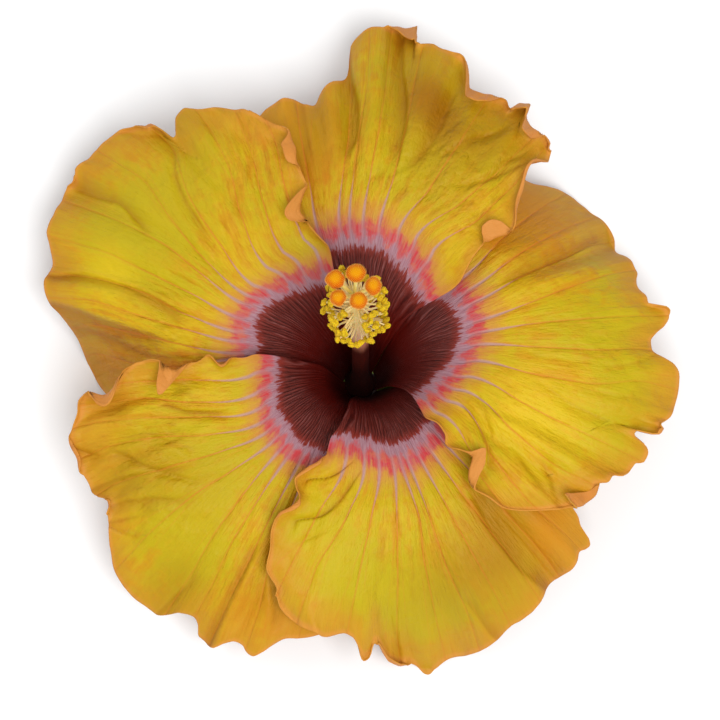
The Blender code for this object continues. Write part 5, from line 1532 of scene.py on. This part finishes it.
style_points = [column_place(0, 0, z) for z, radius in STYLE_PROFILE]
style = bar("style", style_points, [radius for z, radius in STYLE_PROFILE])
branches = []
pads = []
hairs = []
for x, y, z, half_width, half_length, uneven in PADS:
    path = []
    for step in range(BRANCH_STEPS + 1):
        u = step / BRANCH_STEPS
        spread = ramp(u, *BRANCH_SPREAD) / ramp(1.0, *BRANCH_SPREAD)
        out = BRANCH_FOOT_SHARE + (1 - BRANCH_FOOT_SHARE) * spread
        path.append(column_place(out * x, out * y, BRANCH_FOOT_Z + (z - BRANCH_FOOT_Z) * u))
    branches.append(bar("branch", path, [BRANCH_RADIUS] * len(path)))
    dome = new_ball(1.0, 4)
    dome.data.attributes.new("rim", "FLOAT", "POINT")
    rims = []
    for vertex in dome.data.vertices:
        a, b, c = vertex.co
        rims.append(math.hypot(a, b))
        lump = pad_lump(a, b, z, uneven)
        height = PAD_DOME * c if c > 0 else PAD_BELLY * c
        vertex.co = column_place(a * half_width * lump + x, b * half_length * lump + y, height + z)
    dome.data.attributes["rim"].data.foreach_set("value", rims)
    dome.data.shade_smooth()
    pads.append(dome)
    for index in range(PAD_HAIRS):
        up = 1 - PAD_HAIR_ZONE * (index + 0.5) / PAD_HAIRS
        angle = math.radians(STAMEN_TURN * index)
        flat = math.sqrt(max(0.0, 1 - up * up))
        normal = Vector((flat * math.cos(angle), flat * math.sin(angle), up))
        lump = pad_lump(normal.x, normal.y, z, uneven)
        foot_x = x + normal.x * half_width * lump
        foot_y = y + normal.y * half_length * lump
        hairs.append((column_place(foot_x, foot_y, z + normal.z * PAD_HAIR_DOME), normal))
style_all = joined([style] + branches, "style_and_branches")
style_all.data.materials.append(tissue_finish("style tissue", STYLE_SHADES, 1200.0, 0.1))
bpy.ops.mesh.primitive_cone_add(vertices=3, radius1=HAIR_RADII[0] * MM, radius2=HAIR_RADII[1] * MM,
                                depth=HAIR_LENGTH * MM)
hair = bpy.context.object
hair.data.transform(Matrix.Translation((0, 0, HAIR_LENGTH * MM * HAIR_STANDING)))
fuzz = []
for foot, normal in hairs:
    aim = normal.to_track_quat("Z", "Y").to_matrix().to_4x4()
    fuzz.append(copy_of(hair, Matrix.Translation(foot) @ aim))
bpy.data.objects.remove(hair)
velvet = joined(fuzz, "stigma_hairs")
velvet.data.materials.append(tissue_finish("hair tissue", HAIR_SHADES, 900.0, 0.1, 0.7))
stigma = joined(pads, "stigma_pads")
stigma.data.materials.append(pad_finish())
for piece in (style_all, stigma, velvet):
    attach(piece, "root")
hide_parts("pistil")

# Calyx. A green cup grown round the petals' claws, cleft into five pointed lobes, with ribs. It sits
# on the receptacle.
CUP_WALL = 0.55
CUP_LOBES = 5
CUP_FOOT_Z = 2.4
CUP_NOTCH_Z = 13.5
CUP_LOBE_HEIGHT = 8.0
CUP_LOBE_SHARPNESS = 0.8
CUP_RADII = [(2.4, 5.1), (4, 6.4), (7, 8.3), (11, 10.0), (15, 12.4), (19, 15.2), (23, 18.4)]
CUP_RIB_HEIGHT = 0.16
CUP_RIBS_PER_LOBE = 3
CUP_AROUND = 200
CUP_UP = 28
CUP_SEAM = 0.01
CUP_SHADES = [(96, 124, 44), (122, 142, 58), (150, 166, 84)]


def base_place(x, y, z):
    """Place of a point of the base, which leans with the throat, in metres."""
    x, y, z = leaned(x, y, z, 0.0)
    return Vector((x + AXIS_X, y + AXIS_Y, z)) * MM


bpy.ops.mesh.primitive_grid_add(x_subdivisions=CUP_AROUND, y_subdivisions=CUP_UP, size=1.0)
cup = bpy.context.object
cup.name = "calyx_cup"
for vertex in cup.data.vertices:
    turn = (vertex.co.x + 0.5) * 360.0
    share = vertex.co.y + 0.5
    off_point = abs((turn * CUP_LOBES / 180.0) % 2 - 1)
    top = CUP_NOTCH_Z + CUP_LOBE_HEIGHT * (1 - off_point) ** CUP_LOBE_SHARPNESS
    z = CUP_FOOT_Z + (top - CUP_FOOT_Z) * share
    rib = math.cos(math.radians(turn * CUP_LOBES * CUP_RIBS_PER_LOBE))
    radius = float(through(z, CUP_RADII)) + CUP_RIB_HEIGHT * rib * min(1.0, 2 * share)
    angle = math.radians(turn)
    vertex.co = base_place(radius * math.cos(angle), radius * math.sin(angle), z)
bpy.ops.object.mode_set(mode="EDIT")
bpy.ops.mesh.select_all(action="SELECT")
bpy.ops.mesh.remove_doubles(threshold=CUP_SEAM * MM)
bpy.ops.object.mode_set(mode="OBJECT")
add_wall(cup, CUP_WALL)
cup.data.materials.append(tissue_finish("calyx tissue", CUP_SHADES, 1400.0, 0.2, 0.55))
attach(cup, "root")
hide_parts("calyx")

# Outer bracts. A ring of narrow green leaves round the calyx's foot, grown on a short collar, each
# with a midrib and a tapered tip that bends up.
BRACTS = 7
BRACT_FIRST_TURN = 20.0
BRACT_WIDTH = 1.8
BRACT_TAPER = 0.75
BRACT_THICKNESS = 0.5
BRACT_RADII = [(0, 6.0), (0.25, 8.6), (0.5, 10.4), (0.75, 12.4), (1, 15.2)]
BRACT_HEIGHTS = [(0, 1.45), (0.25, 2.6), (0.5, 6.2), (0.75, 9.8), (1, 12.2)]
BRACT_SIDE_IN = 0.18
BRACT_SIDE_UP = 0.22
BRACT_ACROSS = 10
BRACT_ALONG = 40
BRACT_SHADES = [(78, 112, 38), (104, 130, 48), (138, 156, 74)]
RING_MIDDLE_RADIUS = 4.9
RING_MIDDLE_Z = 1.43
RING_HALF_WIDTH = 1.5
RING_HALF_HEIGHT = 0.42

bpy.ops.mesh.primitive_torus_add(major_radius=RING_MIDDLE_RADIUS, minor_radius=1.0,
                                 major_segments=72, minor_segments=16)
ring = bpy.context.object
for vertex in ring.data.vertices:
    angle = math.atan2(vertex.co.y, vertex.co.x)
    off = math.hypot(vertex.co.x, vertex.co.y) - RING_MIDDLE_RADIUS
    radius = RING_MIDDLE_RADIUS + RING_HALF_WIDTH * off
    z = RING_MIDDLE_Z + RING_HALF_HEIGHT * vertex.co.z
    vertex.co = base_place(radius * math.cos(angle), radius * math.sin(angle), z)
ring.data.shade_smooth()
leaves = [ring]
for index in range(BRACTS):
    bpy.ops.mesh.primitive_grid_add(x_subdivisions=BRACT_ACROSS, y_subdivisions=BRACT_ALONG, size=1.0)
    leaf = bpy.context.object
    angle = math.radians(360.0 / BRACTS * index + BRACT_FIRST_TURN)
    for vertex in leaf.data.vertices:
        share = vertex.co.y + 0.5
        across = vertex.co.x * 2
        side = across / 2 * BRACT_WIDTH * (1 - BRACT_TAPER * share ** 2)
        radius = float(through(share, BRACT_RADII)) - BRACT_SIDE_IN * abs(across)
        z = float(through(share, BRACT_HEIGHTS)) + BRACT_SIDE_UP * abs(across)
        vertex.co = base_place(radius * math.cos(angle) - side * math.sin(angle),
                               radius * math.sin(angle) + side * math.cos(angle), z)
    add_wall(leaf, BRACT_THICKNESS)
    leaves.append(leaf)
bracts = joined(leaves, "bract_ring")
bracts.data.materials.append(tissue_finish("bract tissue", BRACT_SHADES, 1500.0, 0.18, 0.5))
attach(bracts, "root")
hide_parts("epicalyx")

# Stalk. The short cut end of the flower stalk, green and fibrous, widening into the receptacle
# that the petals, cup and pistil grow from. Its face at the bottom of the throat gets painted shade, dark
# red.
STALK_PROFILE = [(0.0, 3.2), (4.0, 3.2), (4.3, 3.05), (4.1, 2.3), (3.2, 1.9), (2.4, 1.6),
                 (1.75, 1.25), (1.6, 0.9), (1.6, 0.5), (1.5, 0.4), (0.0, 0.4)]
STALK_STEPS = 48
STALK_SEAM = 0.001
STALK_CREASE_ANGLE = 40
STALK_SHADES = [(112, 138, 60), (132, 150, 72), (158, 170, 100)]
# Painted shade on the stalk's face in the throat: its middle, its radius, the share of the radius where
# it is full, the heights it starts and is full at, and its dark red
INSIDE_MIDDLE = (0.0, -8.8)
INSIDE_RADIUS = 4.8
INSIDE_CORE = 0.96
INSIDE_Z = (2.7, 2.9)
STALK_TOP_PAINTED_SHADE = (30, 6, 5)


def paint_stalk_top_shade(material):
    """Paints dark red shade on the stalk's top inside the throat."""
    tree = material.node_tree
    skin = tree.nodes["Principled BSDF"]
    plain = skin.inputs["Base Color"].links[0].from_socket
    where = node(tree, "ShaderNodeTexCoord").outputs["Object"]
    x, y, z = node(tree, "ShaderNodeSeparateXYZ", {0: where}).outputs
    off_x = sum_of(tree, "SUBTRACT", x, INSIDE_MIDDLE[0] * MM)
    off_y = sum_of(tree, "SUBTRACT", y, INSIDE_MIDDLE[1] * MM)
    off = sum_of(tree, "SQRT", sum_of(tree, "ADD", sum_of(tree, "MULTIPLY", off_x, off_x),
                                      sum_of(tree, "MULTIPLY", off_y, off_y)))
    within = soft_step(tree, off, INSIDE_RADIUS * MM, INSIDE_RADIUS * INSIDE_CORE * MM)
    inside = sum_of(tree, "MULTIPLY", within, soft_step(tree, z, INSIDE_Z[0] * MM, INSIDE_Z[1] * MM))
    tree.links.new(mixed(tree, inside, plain, colour(*STALK_TOP_PAINTED_SHADE)), skin.inputs["Base Color"])


bpy.ops.mesh.primitive_circle_add(vertices=len(STALK_PROFILE), radius=1.0)
stalk = bpy.context.object
stalk.name = "stalk"
for vertex, (radius, z) in zip(stalk.data.vertices, STALK_PROFILE):
    vertex.co = Vector((radius, 0.0, z))
bpy.ops.object.mode_set(mode="EDIT")
bpy.ops.mesh.select_all(action="SELECT")
bpy.ops.mesh.spin(steps=STALK_STEPS, angle=2 * math.pi, center=(0, 0, 0), axis=(0, 0, 1))
bpy.ops.mesh.select_all(action="SELECT")
bpy.ops.mesh.remove_doubles(threshold=STALK_SEAM)
bpy.ops.mesh.normals_make_consistent(inside=False)
bpy.ops.object.mode_set(mode="OBJECT")
for vertex in stalk.data.vertices:
    vertex.co = base_place(*vertex.co)
stalk.select_set(True)
bpy.ops.object.shade_smooth_by_angle(angle=math.radians(STALK_CREASE_ANGLE))
stalk.select_set(False)
green_tissue = tissue_finish("stalk tissue", STALK_SHADES, 1600.0, 0.2, 0.55)
paint_stalk_top_shade(green_tissue)
stalk.data.materials.append(green_tissue)
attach(stalk, "root")
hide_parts("pedicel")

# Studio. A pale floor, a large soft light above and a weaker fill, and the camera almost straight
# above the open face.
FLOOR_SIZE = 4.0
FLOOR_SHADE = (0.86, 0.86, 0.86, 1)
LIGHT_AIM = (0, 0, 0.02)
SKY_STRENGTH = 0.52
CAMERA_DISTANCE = 0.6
CAMERA_ELEVATION = 80.0
CAMERA_TARGET_Z = 10.0
SENSOR = 36.0
MM_PER_PIXEL = 0.2373
PICTURE_WIDTH = 720

bpy.ops.mesh.primitive_plane_add(size=FLOOR_SIZE)
floor = bpy.context.object
floor.name = "floor"
paper = bpy.data.materials.new("pale floor")
paper.use_nodes = True
paper.node_tree.nodes["Principled BSDF"].inputs["Base Color"].default_value = FLOOR_SHADE
paper.node_tree.nodes["Principled BSDF"].inputs["Roughness"].default_value = 0.9
floor.data.materials.append(paper)


def soft_light(name, place, size, power):
    """Square light that faces the flower."""
    lamp = bpy.data.lights.new(name, "AREA")
    lamp.size = size
    lamp.energy = power
    made = bpy.data.objects.new(name, lamp)
    bpy.context.scene.collection.objects.link(made)
    made.location = place
    made.rotation_euler = (Vector(place) - Vector(LIGHT_AIM)).to_track_quat("Z", "Y").to_euler()


soft_light("key light", place=(0.24, -0.44, 1.02), size=0.7, power=11.8)
soft_light("fill light", place=(-0.7, 0.5, 0.85), size=1.0, power=4.4)
world = bpy.data.worlds.new("studio")
bpy.context.scene.world = world
world.use_nodes = True
world.node_tree.nodes["Background"].inputs["Color"].default_value = (1, 1, 1, 1)
world.node_tree.nodes["Background"].inputs["Strength"].default_value = SKY_STRENGTH

lens = bpy.data.cameras.new("camera")
lens.sensor_width = SENSOR
lens.lens = SENSOR * (CAMERA_DISTANCE / MM / MM_PER_PIXEL) / PICTURE_WIDTH
camera = bpy.data.objects.new("camera", lens)
bpy.context.scene.collection.objects.link(camera)
elevation = math.radians(CAMERA_ELEVATION)
back = Vector((0, -math.cos(elevation), math.sin(elevation)))
camera.location = Vector((AXIS_X, AXIS_Y, CAMERA_TARGET_Z)) * MM + back * CAMERA_DISTANCE
camera.rotation_euler = back.to_track_quat("Z", "Y").to_euler()
bpy.context.scene.camera = camera
bpy.context.scene.view_settings.view_transform = "Standard"
